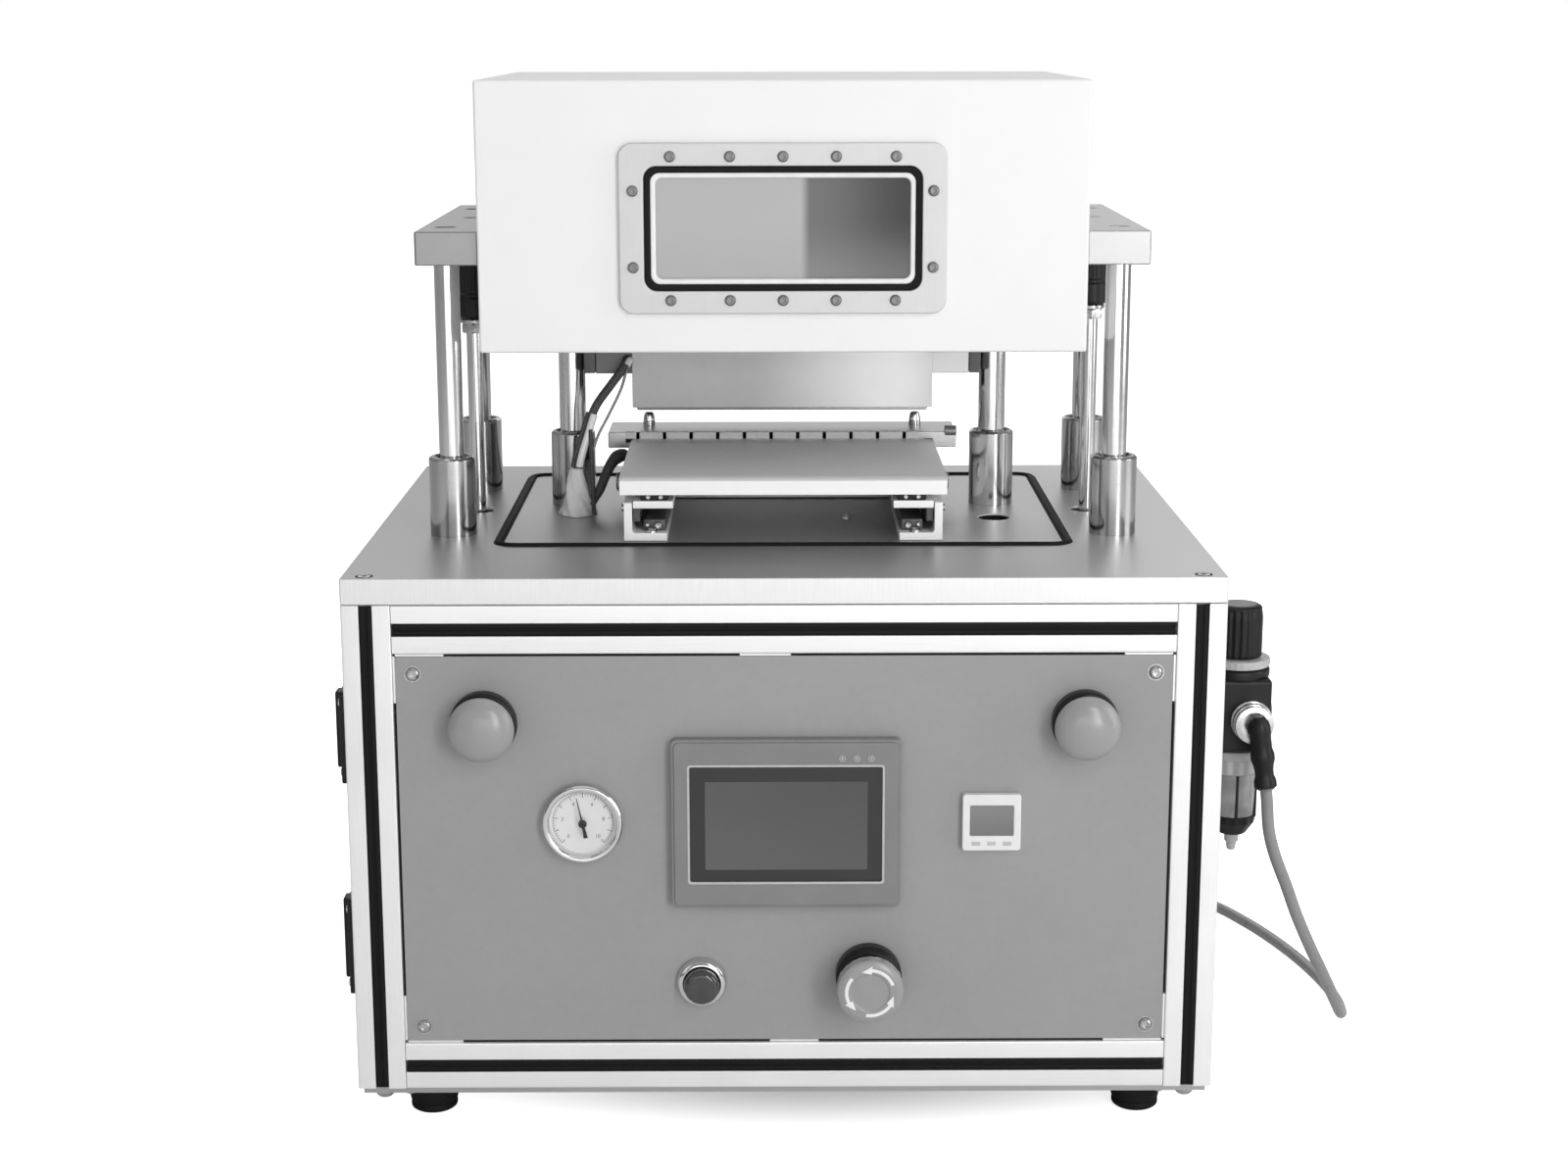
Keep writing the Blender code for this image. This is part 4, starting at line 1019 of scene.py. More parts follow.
WINDOW_AT = (0.0, WINDOW_Z)
chamber_face = chamber_y[0]
shell_outer = block(chamber_x, chamber_y, chamber_z, 1.6, 3)
shell_hollow = block(chamber_x + (WALL, -WALL), chamber_y + (WALL, -WALL),
                     (chamber_z[0] - 20, chamber_z[1] - WALL), 6, 4)
cut_from = chamber_face - 5
window_hole = plate([about(WINDOW_AT, 80, 33, 6, 6)], cut_from, chamber_face + WALL + 5, "-Y", 0.01, 0)
pocket_back = chamber_face + POCKET_DEEP
window_pocket = plate([about(WINDOW_AT, 92.5, 44.5, 6, 6)], cut_from, pocket_back, "-Y", 0.01, 0)
piece("enamelled_chamber", [(enamel, carved(shell_outer, shell_hollow, window_hole, window_pocket))],
      "chamber", "chamber_box")


# ---- Window ---------------------------------------------------------------------------
# Clear acrylic behind a brushed stainless frame with fourteen button-head screws, a
# black gasket and a polished bevel round the clear area.

brushed = machined("brushed_stainless", 0.58, 0.68, (1, 1, 0.04), 0.5, 0.45)
rim_form = plate([rounded(rim_x, rim_z, 9, 8), about(WINDOW_AT, 85.3, 38, 8, 8)], *rim_y, "-Y", 0.7, 2)
piece("window_rim", [(brushed, rim_form)], "chamber", "window_frame")
gasket = plate([about(WINDOW_AT, 85.2, 37.9, 8, 8), about(WINDOW_AT, 81.2, 33.9, 6, 8)],
               rim_y[0] + 1.2, chamber_face, "-Y", 0.8, 2)
piece("window_gasket", [(rubber, gasket)], "chamber")
bevel_finish = Finish("polished_acrylic_bevel", 0.15, 0.0, Coat_Weight=0.5)
bevel_finish.tone(bevel_finish.noise(12, 2), 0.72, 0.9)
bevel = plate([about(WINDOW_AT, 81.6, 34.3, 6, 8), about(WINDOW_AT, 78.0, 30.6, 4, 8)],
              rim_y[0] + 2.2, chamber_face + 0.2, "-Y", 1.0, 2)
piece("window_bevel", [(bevel_finish, bevel)], "chamber")

# The pane's colour is a painted reflection: pale on the left, dark on the right past a soft upright edge, and
# the dark part lightens towards the bottom.
glass = Finish("window_painted_reflection", 0.08, 0.0, Specular_IOR_Level=0.5)
glass_across, glass_up = glass.along("X"), glass.along("Z")
EDGE_AT = MIDDLE[0] + 13 * MM
reflection_edge = glass.step(glass_across, EDGE_AT - 3 * MM, EDGE_AT + 4 * MM)
falling = glass.step(glass_across, EDGE_AT, EDGE_AT + 70 * MM)
rising = glass.step(glass_up, (WINDOW_Z - 34) * MM, (WINDOW_Z + 8) * MM)
low_light = (1 - rising) * 0.35 + glass.noise(30, 2) * 0.1
shade = reflection_edge * (0.72 + falling * 0.28) * (1 - (1 - rising) * 0.35) + low_light * 0.2
glass.tone(shade, 0.46, 0.01)
glass.set(Alpha=0.93)
piece("window_pane", [(glass, plate([rounded(glass_x, glass_z, 5.5)], *glass_y, "-Y", 0.4))],
      "chamber", "window_glass")

rim_screw_at = [(x, z) for x in (-69, -32.5, 0, 32.5, 69) for z in (WINDOW_Z - 43.7, WINDOW_Z + 43.7)]
rim_screw_at += [(x, z) for x in (-92, 92) for z in (WINDOW_Z - 23.5, WINDOW_Z + 23.0)]
dull_screw = machined("dull_screw", 0.20, 0.30, (1, 1, 1), 0.4, 0.7)
rim_screws = [screw((x, rim_y[0], z), "-Y", 3.5, 2.2) for x, z in rim_screw_at]
piece("window_screws", [(dull_screw, *rim_screws)], "chamber")


# ---- Sealing head ---------------------------------------------------------------------
# A ground steel bar between the two press posts hangs from a plate bolted across their
# tops, with a black clamp at each end. Bar and plate are coloured from dark on the left
# to bright on the right as painted light. It carries the heated upper die and, in front of
# that, a bright sheet shield with a painted highlight near its right end.

die_steel = machined("ground_die_steel", 0.45, 0.57, (0.05, 1, 1), 0.32, 0.9)
# Dark steel: the crosshead clamps' own colour, and painted shade on the tray cleats' inner legs and the
# blocks inside the deck angles.
dark_steel_and_shade = machined("blackened_steel_and_shade", 0.07, 0.12, (1, 0.05, 1), 0.4, 0.5)
shield_steel, _, shield_cloud = cut_metal("shield_sheet", (0.03, 1, 1), 0.34, 0.8)
# Painted highlight: the shield's colour brightens up to a point near its right end and falls off after it.
HIGHLIGHT_FROM, HIGHLIGHT_PEAK, HIGHLIGHT_TO = (MIDDLE[0] + x * MM for x in (-30, 76, 130))
shield_across = shield_steel.along("X")
shield_painted_highlight = (shield_steel.step(shield_across, HIGHLIGHT_FROM, HIGHLIGHT_PEAK)
               - shield_steel.step(shield_across, HIGHLIGHT_PEAK, HIGHLIGHT_TO) * 0.9)
shield_steel.tone(shield_cloud * 0.2 + shield_painted_highlight * 0.8, 0.29, 0.66)
beam_steel, _, beam_cloud = cut_metal("crosshead_steel", (0.05, 1, 1), 0.4, 0.5)
# Painted light: the crosshead's colour runs from dark on the left to bright on the right.
beam_painted_light = beam_steel.step(beam_steel.along("X"), MIDDLE[0] - 90 * MM, MIDDLE[0] + 100 * MM)
beam_steel.tone(beam_painted_light * 0.9 + beam_cloud * 0.1, 0.12, 0.74)

beam_x, beam_y, beam_z = span("crosshead")
BAR_TOP, BAR_END, CLAMP = beam_z[0] + 20, PRESS_POSTS[1][0] - 9.3, 8.0
beam_bar = block((-BAR_END + CLAMP, BAR_END - CLAMP), beam_y, (beam_z[0], BAR_TOP), 0.8)
hanger = plate([rounded(beam_x, beam_y, 3)], BAR_TOP - 0.2, beam_z[1], "Z", 0.8, 2)
clamp_y, clamp_z = beam_y - (0.8, 0), (beam_z[0] + 0.3, BAR_TOP - 0.4)
clamps = [block((x - CLAMP / 2 + 0.2, x + CLAMP / 2 - 0.1), clamp_y, clamp_z, 0.8)
          for x in (CLAMP / 2 - BAR_END, BAR_END - CLAMP / 2)]
hanger_caps = [screw((x, 246.5, beam_z[1]), "Z", 6.5, 6.0, 0.55, True) for x in (-143, 143)]
hanger_caps += [screw((x, 280, beam_z[1]), "Z", 5.0, 5.0, 0.55, True) for x in (-75, 0, 75)]
piece("ground_crosshead", [(beam_steel, beam_bar, hanger), (dark_steel_and_shade, *clamps), (stainless, *hanger_caps)],
      "press_head", "crosshead")

upper_x, upper_y, upper_z = span("upper_die")
DIE_LOW, HEATER_TALL, DIE_HALF = upper_z[0], 11.6, 100.0
SHIELD_LOW, SHIELD_HIGH, SHIELD_Y = DECK + 69.4, upper_z[1], (upper_y[0], upper_y[0] + 3.2)
PIN_X, PIN_Y = (-93.0, 93.0), 290.0
pin_drills = [turned([(0, 0), (4.6, 0), (4.6, 16), (0, 16)], (x, PIN_Y, DIE_LOW - 4), "Z", 32) for x in PIN_X]
die_x = (-DIE_HALF, DIE_HALF)
die_bar = carved(block(die_x, (258, 304), (DIE_LOW + HEATER_TALL + 0.4, beam_z[0] - 0.3), 0.8), *pin_drills)
heater_bar = carved(block(die_x, (260, 302), (DIE_LOW, DIE_LOW + HEATER_TALL), 1.2), *pin_drills)
shield = plate([rounded(upper_x, (SHIELD_LOW, SHIELD_HIGH), 0.4, 2)], *SHIELD_Y, "-Y", 0.25)
shield_lip = block((-98, 98), (SHIELD_Y[1], 258), (DECK + 73, DECK + 76.5), 0.5)
shield_screws = [screw((x, SHIELD_Y[0], SHIELD_HIGH - 7), "-Y", 3.0, 1.8) for x in (-88, 88)]
piece("heated_upper_die", [(die_steel, die_bar, shield_lip), (shield_steel, shield, heater_bar),
                           (stainless, *shield_screws)], "press_head", "upper_die")


# ---- Lower die ------------------------------------------------------------------------
# The fixed sealing bar on its pedestal. A pale heat-proof strip with eleven slots runs
# along its front edge between two end blocks, a knurled stop sits at its right end and
# two chromed pins locate the upper die.

lower_x = span("lower_die")[0]
DIE_TOP, DIE_T, DIE_FRONT = DECK + 47.5, 11.0, 257.5
stop_steel = machined("dull_steel", 0.24, 0.34, (0.05, 1, 1), 0.4, 0.6)
strip_finish = Finish("heatproof_strip", 0.45, 0.0)
strip_finish.tone(strip_finish.noise(2, 3), 0.62, 0.76).relief(strip_finish.noise(0.5, 2), 0.03)
die_stock = block(lower_x, (DIE_FRONT, 305), (DIE_TOP - DIE_T, DIE_TOP), 0.8)
pedestal = block((-95, 95), (262, 300), (DECK + 0.3, DIE_TOP - DIE_T + 2), 1)
SLOT_FIRST, SLOT_PITCH, SLOTS = -99.4, 18.35, 11
slot_x = SLOT_FIRST + SLOT_PITCH * np.arange(SLOTS)
strip_starts, strip_stops = [slot_x[0] - 10, *slot_x], [*slot_x, slot_x[-1] + 12]
strip_y, strip_z = (DIE_FRONT - 0.15, DIE_FRONT + 4.5), (DIE_TOP - 4.8, DIE_TOP + 0.1)
strip_blocks = [block((a + 1.3, b - 1.3), strip_y, strip_z, 0.5, 1)
                for a, b in zip(strip_starts, strip_stops)]
slot_fills = [block((x - 1.4, x + 1.4), (DIE_FRONT, DIE_FRONT + 4), (DIE_TOP - 5.0, DIE_TOP - 0.1), 0.2, 1)
              for x in slot_x]
strip_shadow = block((slot_x[0] - 8, slot_x[-1] + 10), (DIE_FRONT - 0.1, DIE_FRONT + 0.7),
                     (DIE_TOP - 6.4, DIE_TOP - 4.9), 0.2, 1)
pin_profile = softened([(0, -0.5), (4.2, -0.5), (4.1, 4.4), (3.5, 7.6), (2.6, 9.4), (0, 9.4)], 0.8)
pins = [turned(pin_profile, (x, PIN_Y, DIE_TOP), "Z", 32) for x in PIN_X]
stop_profile = softened([(0, 0), (3.6, 0), (3.6, 8), (0, 8)], 0.5)
end_stop = turned(stop_profile, (112, 259.5, DIE_TOP + 0.4), "X", 48, ribs=16, rib_depth=0.3, ribbed=(1, 7))
strip_ends = [block((x - 4.5, x + 4.5), (DIE_FRONT, DIE_FRONT + 3.5), (DIE_TOP - 9, DIE_TOP - 3), 1.6)
              for x in (-105, 101)]
piece("ground_lower_die", [(die_steel, die_stock, pedestal), (strip_finish, *strip_blocks),
                           (plastic_black, *slot_fills, strip_shadow), (chrome, *pins),
                           (aluminium, *strip_ends), (stop_steel, end_stop)],
      "root", "lower_die")


# ---- Tray -----------------------------------------------------------------------------
# An aluminium tray for the cell. Its cleats ride up and down between two angles on the
# deck and are pinched by clamp screws with knurled steel knobs. A dark block inside each
# angle and the cleats' dark inner legs are painted shade in the hollows there.

tray_x, tray_y, tray_z = span("tray")
TRAY_TOP, TRAY_LOW = tray_z[1], tray_z[1] - 12.0
CLEAT_TOP = DECK + 26
tray_top_finish = machined("satin_tray", 0.86, 0.97, (0.05, 1, 1), 0.46, 0.15)
bright_alloy = machined("bright_angle", 0.93, 0.99, (0.3, 0.05, 1), 0.4, 0.2)
tray_outline = [(tray_y[0], TRAY_LOW), (tray_y[1], TRAY_LOW), (tray_y[1], TRAY_TOP),
                (tray_y[0] + 4.2, TRAY_TOP), (tray_y[0], TRAY_TOP - 3.2)]
tray_plate = plate([tray_outline], *tray_x, "X", 0.5)
piece("cell_tray", [(tray_top_finish, tray_plate)], "tray_body", "tray",
      sides=bright_alloy)


def both(side, inner, outer):
    """X limits of a part that lies between two distances from the middle, on one side."""
    return sorted((side * inner, side * outer))


cleats, cleat_legs, pads, pad_screws = [], [], [], []
for side in (-1, 1):
    cleats.append(block(both(side, 70, 95.7), (112, 250), (CLEAT_TOP - 4.8, CLEAT_TOP), 0.5))
    # The inner legs are coloured dark as painted shade.
    cleat_legs.append(block(both(side, 91.3, 95.7), (116, 250), (CLEAT_TOP - 14, CLEAT_TOP - 5.0), 0.4))
    pads.append(block(both(side, 73, 91), (114, 248), (CLEAT_TOP + 0.1, TRAY_LOW - 0.1), 0.8))
    pad_screws += [screw((side * x, 114, CLEAT_TOP + 2.3), "-Y", 1.7, 0.9) for x in (78, 86)]
piece("tray_cleats", [(bright_alloy, *cleats), (dark_steel_and_shade, *cleat_legs), (plastic_black, *pads),
                      (stainless, *pad_screws)], "tray_body")

KNOB_Y, KNOB_Z, TIP_Y = 226.0, DECK + 18.5, (130, 180)
FOOT_Z, FOOT_T, ANGLE_OUT, ANGLE_TALL = DECK + 0.3, 5.0, 101.5, 24.6
knob_form = softened([(0, 2.2), (5.2, 2.2), (6.4, 3.2), (6.4, 10), (5.2, 11.2), (0, 11.2)], 0.5)
for name, side, clamp_axis in (("left", -1, "-X"), ("right", 1, "X")):
    outline = [(side * x, FOOT_Z + z) for x, z in (
        (74, 0), (ANGLE_OUT, 0), (ANGLE_OUT, ANGLE_TALL), (96.3, ANGLE_TALL), (96.3, 6.4), (95.0, FOOT_T),
        (74, FOOT_T))]
    angle_bar = plate([outline], 112, 250, "-Y", 0.4)
    # A dark block in the angle's hollow, with two screws on it, is painted shade.
    shade_block = block(both(side, 75, 89.5), (120, 246), (FOOT_Z + 4.8, FOOT_Z + 12.6), 1.6)
    shoe_caps = [screw((side * x, 120, FOOT_Z + z), "-Y", radius, 1.6)
                 for x, z, radius in ((80, 8.6, 2.6), (86.6, 9.2, 1.7))]
    foot_screw = screw((side * 84, 115, FOOT_Z + FOOT_T), "Z", 3.4, 2.4)
    tips = [disc(2.5, 2.4, (side * ANGLE_OUT, y, KNOB_Z), clamp_axis, 20) for y in TIP_Y]
    neck = disc(3.2, 3, (side * (ANGLE_OUT - 0.1), KNOB_Y, KNOB_Z), clamp_axis, 24, 0.3)
    knob = turned(knob_form, (side * ANGLE_OUT, KNOB_Y, KNOB_Z), clamp_axis, 72, ribs=24, rib_depth=0.4,
                  ribbed=(3, 10.2))
    steel_parts = (foot_screw, *shoe_caps, *tips, neck, knob)
    piece("deck_angle_" + name, [(bright_alloy, angle_bar), (stainless, *steel_parts), (dark_steel_and_shade, shade_block)],
          "root", "tray_bracket_" + name)


# ---- Heater leads ---------------------------------------------------------------------
# Leads rise through a hand-made mound of pale sealant on the deck. One to the moving head
# has two black cores, pale sheaths and a thin grey sensor wire beside it; two sleeved ones
# loop over to the lower die.

sealant = Finish("pale_sealant", 0.5, 0.0, Specular_IOR_Level=0.4)
sealant.tone(sealant.noise(7, 4), 0.78, 0.90).relief(sealant.noise(3, 4), 0.35)
mound_x, mound_y = middle("cable_seal")[:2]
mound_profile = softened([(0, 0), (12.4, 0), (12.0, 1.6), (10.6, 5), (8.8, 11), (7.2, 18), (5.6, 25),
                          (4.2, 31), (0, 32)], 1.4, 4)
mound_points, mound_faces = turned(mound_profile, (mound_x, mound_y, DECK + 0.1), "Z", 56)
# Two slow ripples round the mound lean over as they climb, as if it were pressed by hand.
bearing_of = np.arctan2(mound_points[:, 1] - mound_y, mound_points[:, 0] - mound_x)
rise = (mound_points[:, 2] - DECK) / 24
lumpy = 1 + 0.10 * np.sin(3 * bearing_of + 4 * rise) + 0.05 * np.sin(7 * bearing_of + 9 * rise)
mound_points[:, 0] = mound_x + (mound_points[:, 0] - mound_x) * lumpy
mound_points[:, 1] = mound_y + (mound_points[:, 1] - mound_y) * lumpy
piece("sealant_mound", [(sealant, (mound_points, mound_faces))], "root", "cable_seal")

sleeve_black = Finish("braided_sleeve", 0.55, 0.0, Specular_IOR_Level=0.4)
braid = sleeve_black.add("ShaderNodeTexVoronoi", {"feature": "F1"}, "Distance", Vector=sleeve_black.place,
                         Scale=900.0)
sleeve_black.tone(braid, 0.03, 0.10).relief(braid, 0.12)
sheath_white = Finish("pale_sheath", 0.35, 0.0)
sheath_white.tone(sheath_white.noise(5, 2), 0.82, 0.92)
wire_grey = Finish("grey_wire", 0.35, 0.0)
wire_grey.tone(wire_grey.noise(4, 2), 0.26, 0.36)
lead_top = DECK + 20.0
LEAD_STOPS = [(-138, 205, lead_top), (-137, 206, lead_top + 15), (-131.8, 210, lead_top + 33),
              (-125.5, 214, lead_top + 51), (-114.8, 216.5, lead_top + 66), (-107.5, 218.5, lead_top + 75.5),
              (-104.8, 222, lead_top + 81), (-104.4, 227.6, lead_top + 82)]
lead_path = smooth_route(LEAD_STOPS, 12)
lead = swept(lead_path, circle(2.9, 14))
# Stretches of the path by its own points: the lower sheath and the one at the top.
LOW_FROM, LOW_TO, TOP_FROM, TOP_TO = 10, 34, 66, 80
sheath = swept(lead_path[LOW_FROM:LOW_TO] + (1.2, -1.0, 0), circle(2.7, 14))
top_sheath = swept(lead_path[TOP_FROM:TOP_TO] + (1.8, -1.4, 0), circle(2.4, 14))
core_left = swept(lead_path[LOW_FROM:LOW_TO + 1] - (3.0, 0.5, 0), circle(1.5, 12))
CORE_STOPS = [(-128.6, 208, 405), (-127.8, 204, 392), (-127.4, 200, 378), (-126.6, 197, 362),
              (-126.2, 196, 350)]
core_right = swept(smooth_route(CORE_STOPS, 8), circle(1.4, 12))
SENSOR_STOPS = [(-104.0, 222, 446), (-107.8, 216.5, 432), (-116, 213, 415), (-123, 210, 402),
                (-127, 206, 391)]
sensor = swept(smooth_route(SENSOR_STOPS, 10), circle(1.0, 10))
head_lead = piece("head_lead", [(sleeve_black, lead, core_left, core_right),
                                (sheath_white, sheath, top_sheath), (wire_grey, sensor)],
                  None, "head_cable")
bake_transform(head_lead)

DIE_LEAD = [(-130.5, 206.5, 356), (-126.6, 208, 359), (-123, 210, 364), (-119, 216, 373), (-115, 228, 379),
            (-111, 242, 380), (-109, 252, 379.5), (-108.5, 257.2, 379.5)]
LOOP_RISE = 6.4
arch = LOOP_RISE * np.sin(np.linspace(0, pi, len(DIE_LEAD)))
second = [(x + 1.5, y - 2.5, z - 1.0 + lift) for (x, y, z), lift in zip(DIE_LEAD, arch)]
piece("die_lead", [(sleeve_black, swept(smooth_route(DIE_LEAD, 10), circle(3.2, 12)),
                    swept(smooth_route(second, 10), circle(3.0, 12)))], "root", "die_cable")


# ---- Pressure gauge -------------------------------------------------------------------
# A panel dial gauge: chromed bezel, white printed dial, black pointer on a black hub and
# a domed glass.

def seat(node):
    """Where a part of the panel is mounted: the middle of its rear face."""
    x, y, z = span(node)
    return np.array([x.mean(), y[1], z.mean()])


GAUGE_AT = seat("gauge_case")
gauge_x, gauge_y, gauge_z = GAUGE_AT
bezel = softened([(19.8, 1.2), (20.2, 6.2), (21.4, 7.8), (23.2, 8.0), (24.5, 6.6), (24.2, 3.0), (22.8, 0.2),
                  (19.8, 0.2)], 0.5, 3, True)
dial_finish = Finish("white_dial", 0.4, 0.0)
dial_finish.tone(dial_finish.noise(15, 2), 0.78, 0.84)
print_black = Finish("black_print", 0.5, 0.0)
print_black.tone(print_black.noise(2, 2), 0.01, 0.03)
dial = turned([(0, 0.3), (20.2, 0.3), (20.2, 1.5), (0, 1.5)], GAUGE_AT, "-Y", 64)
SWEEP, MARK_R, ARC_R, FIGURE_R = 135, 18.2, 18.45, 12.6
MARK_LEVELS = (1.45, 1.58)


def round_dial(count):
    """Evenly spaced bearings over the scale, in degrees clockwise from straight up."""
    return np.linspace(-SWEEP, SWEEP, count)


def dial_mark(degrees, inner, width):
    """A printed line on the dial, from a radius out to the scale's arc."""
    bearing = radians(degrees)
    out = np.array([sin(bearing), cos(bearing)])
    across = np.array([cos(bearing), -sin(bearing)]) * width / 2
    near, far = out * inner, out * MARK_R
    corners = np.array([near - across, near + across, far + across, far - across])
    flat = [np.column_stack([corners, np.full(4, level)]) for level in MARK_LEVELS]
    return skin(np.stack(flat) @ np.array(AXES["-Y"], float) + GAUGE_AT)


marks = [dial_mark(angle, 15.4, 0.42) for angle in round_dial(11)]
marks += [dial_mark(angle, 16.9, 0.22) for angle in round_dial(51)]
arc_angle = np.radians(round_dial(61))
arc = np.column_stack([np.sin(arc_angle), np.cos(arc_angle)])
arc_loop = np.vstack([arc * ARC_R, arc[::-1] * MARK_R])
marks.append(plate([arc_loop + (gauge_x, gauge_z)], gauge_y - 1.58, gauge_y - 1.44, "-Y", 0.01, 0))


def lettering(text, size, centre, low, high):
    """Figures as a flat solid on the panel side, centred on a point."""
    curve = bpy.data.curves.new("figures", "FONT")
    curve.body, curve.size, curve.extrude = text, size, (high - low) / 2
    curve.align_x, curve.align_y = "CENTER", "CENTER"
    curve.resolution_u = 3
    holder = bpy.data.objects.new("figures", curve)
    bpy.context.scene.collection.objects.link(holder)
    points, faces = shell_of(holder)
    bpy.data.objects.remove(holder)
    bpy.data.curves.remove(curve)
    return (points + (*centre, -(low + high) / 2)) @ np.array(AXES["-Y"], float), faces


figures = []
for count, angle in enumerate(np.radians(round_dial(6))):
    spot = (gauge_x + FIGURE_R * sin(angle), gauge_z + FIGURE_R * cos(angle))
    figures.append(lettering(str(count * 2), 3.1, spot, gauge_y - 1.6, gauge_y - 1.42))
piece("gauge_body", [(chrome, turned(bezel, GAUGE_AT, "-Y", 96, hollow=True)), (dial_finish, dial),
                     (print_black, *marks, *figures)], "root", "gauge_case")

NEEDLE_LEAN, NEEDLE_LENGTH, NEEDLE_TAIL = 0.21, 16.5, 8.5
pointer_y = span("gauge_pointer")[1][0]


def needle_part(half, low, high):
    """Half an outline up the needle's right side, mirrored, leant over and cut as a plate."""
    flat = np.array([(-half[0][0], half[0][1]), *half, *[(-x, y) for x, y in half[:0:-1]]])
    lean = np.array([(cos(NEEDLE_LEAN), sin(NEEDLE_LEAN)), (-sin(NEEDLE_LEAN), cos(NEEDLE_LEAN))])
    return plate([flat @ lean + (gauge_x, gauge_z)], pointer_y + low, pointer_y + high, "-Y", 0.05, 0)


blade = needle_part([(0.75, -NEEDLE_TAIL), (1.0, -3), (0.5, 4), (0.22, NEEDLE_LENGTH)], 0.1, 0.5)
tail = needle_part([(1.3, -NEEDLE_TAIL - 0.6), (0.9, -3.5)], 0.05, 0.55)
hub_profile = softened([(0, 0), (2.6, 0), (2.6, 0.9), (1.8, 1.3), (0, 1.3)], 0.3)
hub = turned(hub_profile, (gauge_x, pointer_y + 1.0, gauge_z), "-Y", 32)
piece("gauge_needle_blade", [(print_black, blade, tail, hub)], "pointer", "gauge_pointer")
lens_glass = Finish("gauge_glass", 0.03, 0.0, Transmission_Weight=1.0, IOR=1.25)
lens_glass.tone(lens_glass.noise(20, 1), 0.95, 1.0)
lens_glass.set(Alpha=0.35)
lens = turned(softened([(0, 6.3), (20.3, 6.0), (20.3, 6.6), (12, 7.3), (0, 7.7)], 0.1), GAUGE_AT, "-Y", 64)
piece("gauge_lens", [(lens_glass, lens)], "root")


# ---- Touchscreen ----------------------------------------------------------------------
# The operator screen: a grey moulded bezel with a thin pale line round its window, a
# black mask, and the display behind it with three small keys on the bezel's top edge.

screen_x, screen_y, screen_z = span("touchscreen")
SCREEN_AT = (float(screen_x.mean()), float(screen_z.mean()))


bezel_grey = Finish("screen_bezel", 0.42, 0.0, Specular_IOR_Level=0.45)
bezel_grain = bezel_grey.noise(0.7, 2)
bezel_grey.tone(bezel_grey.noise(25, 3), 0.19, 0.235).relief(bezel_grain, 0.03)
line_pale = Finish("pale_line", 0.35, 0.0)
line_pale.tone(line_pale.noise(6, 2), 0.42, 0.55)
mask_black = Finish("screen_mask", 0.16, 0.0, Coat_Weight=0.4, Coat_Roughness=0.08)
mask_black.tone(mask_black.noise(40, 2), 0.012, 0.022)
display = Finish("screen_display", 0.22, 0.0, Coat_Weight=0.5, Coat_Roughness=0.1)
display_up = display.step(display.along("Z"), (SCREEN_AT[1] - 30) * MM, (SCREEN_AT[1] + 30) * MM)
display_across = display.step(display.along("X"), MIDDLE[0] - 60 * MM, MIDDLE[0] + 60 * MM)
display.tone(display_up * 0.45 + display_across * 0.35 + display.noise(30, 2) * 0.2, 0.10, 0.055)
screen_front = screen_y[0]
bezel_base = plate([about(SCREEN_AT, 69.5, 53, 3.5), about(SCREEN_AT, 58.6, 36.6, 1.5)], screen_front + 1.2,
                   screen_y[1], "-Y", 0.5, 2)
bezel_front = plate([about(SCREEN_AT, 67.8, 51.3, 3), about(SCREEN_AT, 58.6, 36.6, 1.5)], screen_front,
                    screen_front + 2.4, "-Y", 0.7, 2)
pale_line = plate([about(SCREEN_AT, 59.6, 37.6, 2), about(SCREEN_AT, 58.3, 36.3, 1.3)], screen_front - 0.12,
                  screen_front + 1.2, "-Y", 0.1, 1)
mask = plate([about(SCREEN_AT, 58.7, 36.7, 1)], screen_front + 1.3, screen_front + 3, "-Y", 0.1, 0)
LCD_AT = (SCREEN_AT[0] + 0.2, SCREEN_AT[1] - 1.0)
lcd = plate([about(LCD_AT, 49.2, 27.8, 0.6)], screen_front + 1.1, screen_front + 1.6, "-Y", 0.05, 0)
key_at = [(SCREEN_AT[0] + x, screen_front, SCREEN_AT[1] + 41.5) for x in (34, 42.8, 51.5)]
key_ring = softened([(1.5, 0), (1.9, 0), (1.9, 0.25), (1.5, 0.25)], 0.05)
keys = [turned(key_ring, at, "-Y", 24, hollow=True) for at in key_at]
key_dots = [turned([(0, 0), (0.7, 0), (0.7, 0.15), (0, 0.15)], at, "-Y", 16) for at in key_at]
piece("operator_screen", [(bezel_grey, bezel_base, bezel_front), (line_pale, pale_line, *keys, *key_dots),
                          (mask_black, mask), (display, lcd)], "root", "touchscreen")


# ---- Vacuum display -------------------------------------------------------------------
# A small square digital vacuum switch in a white case, with its grey display and three
# keys under it.

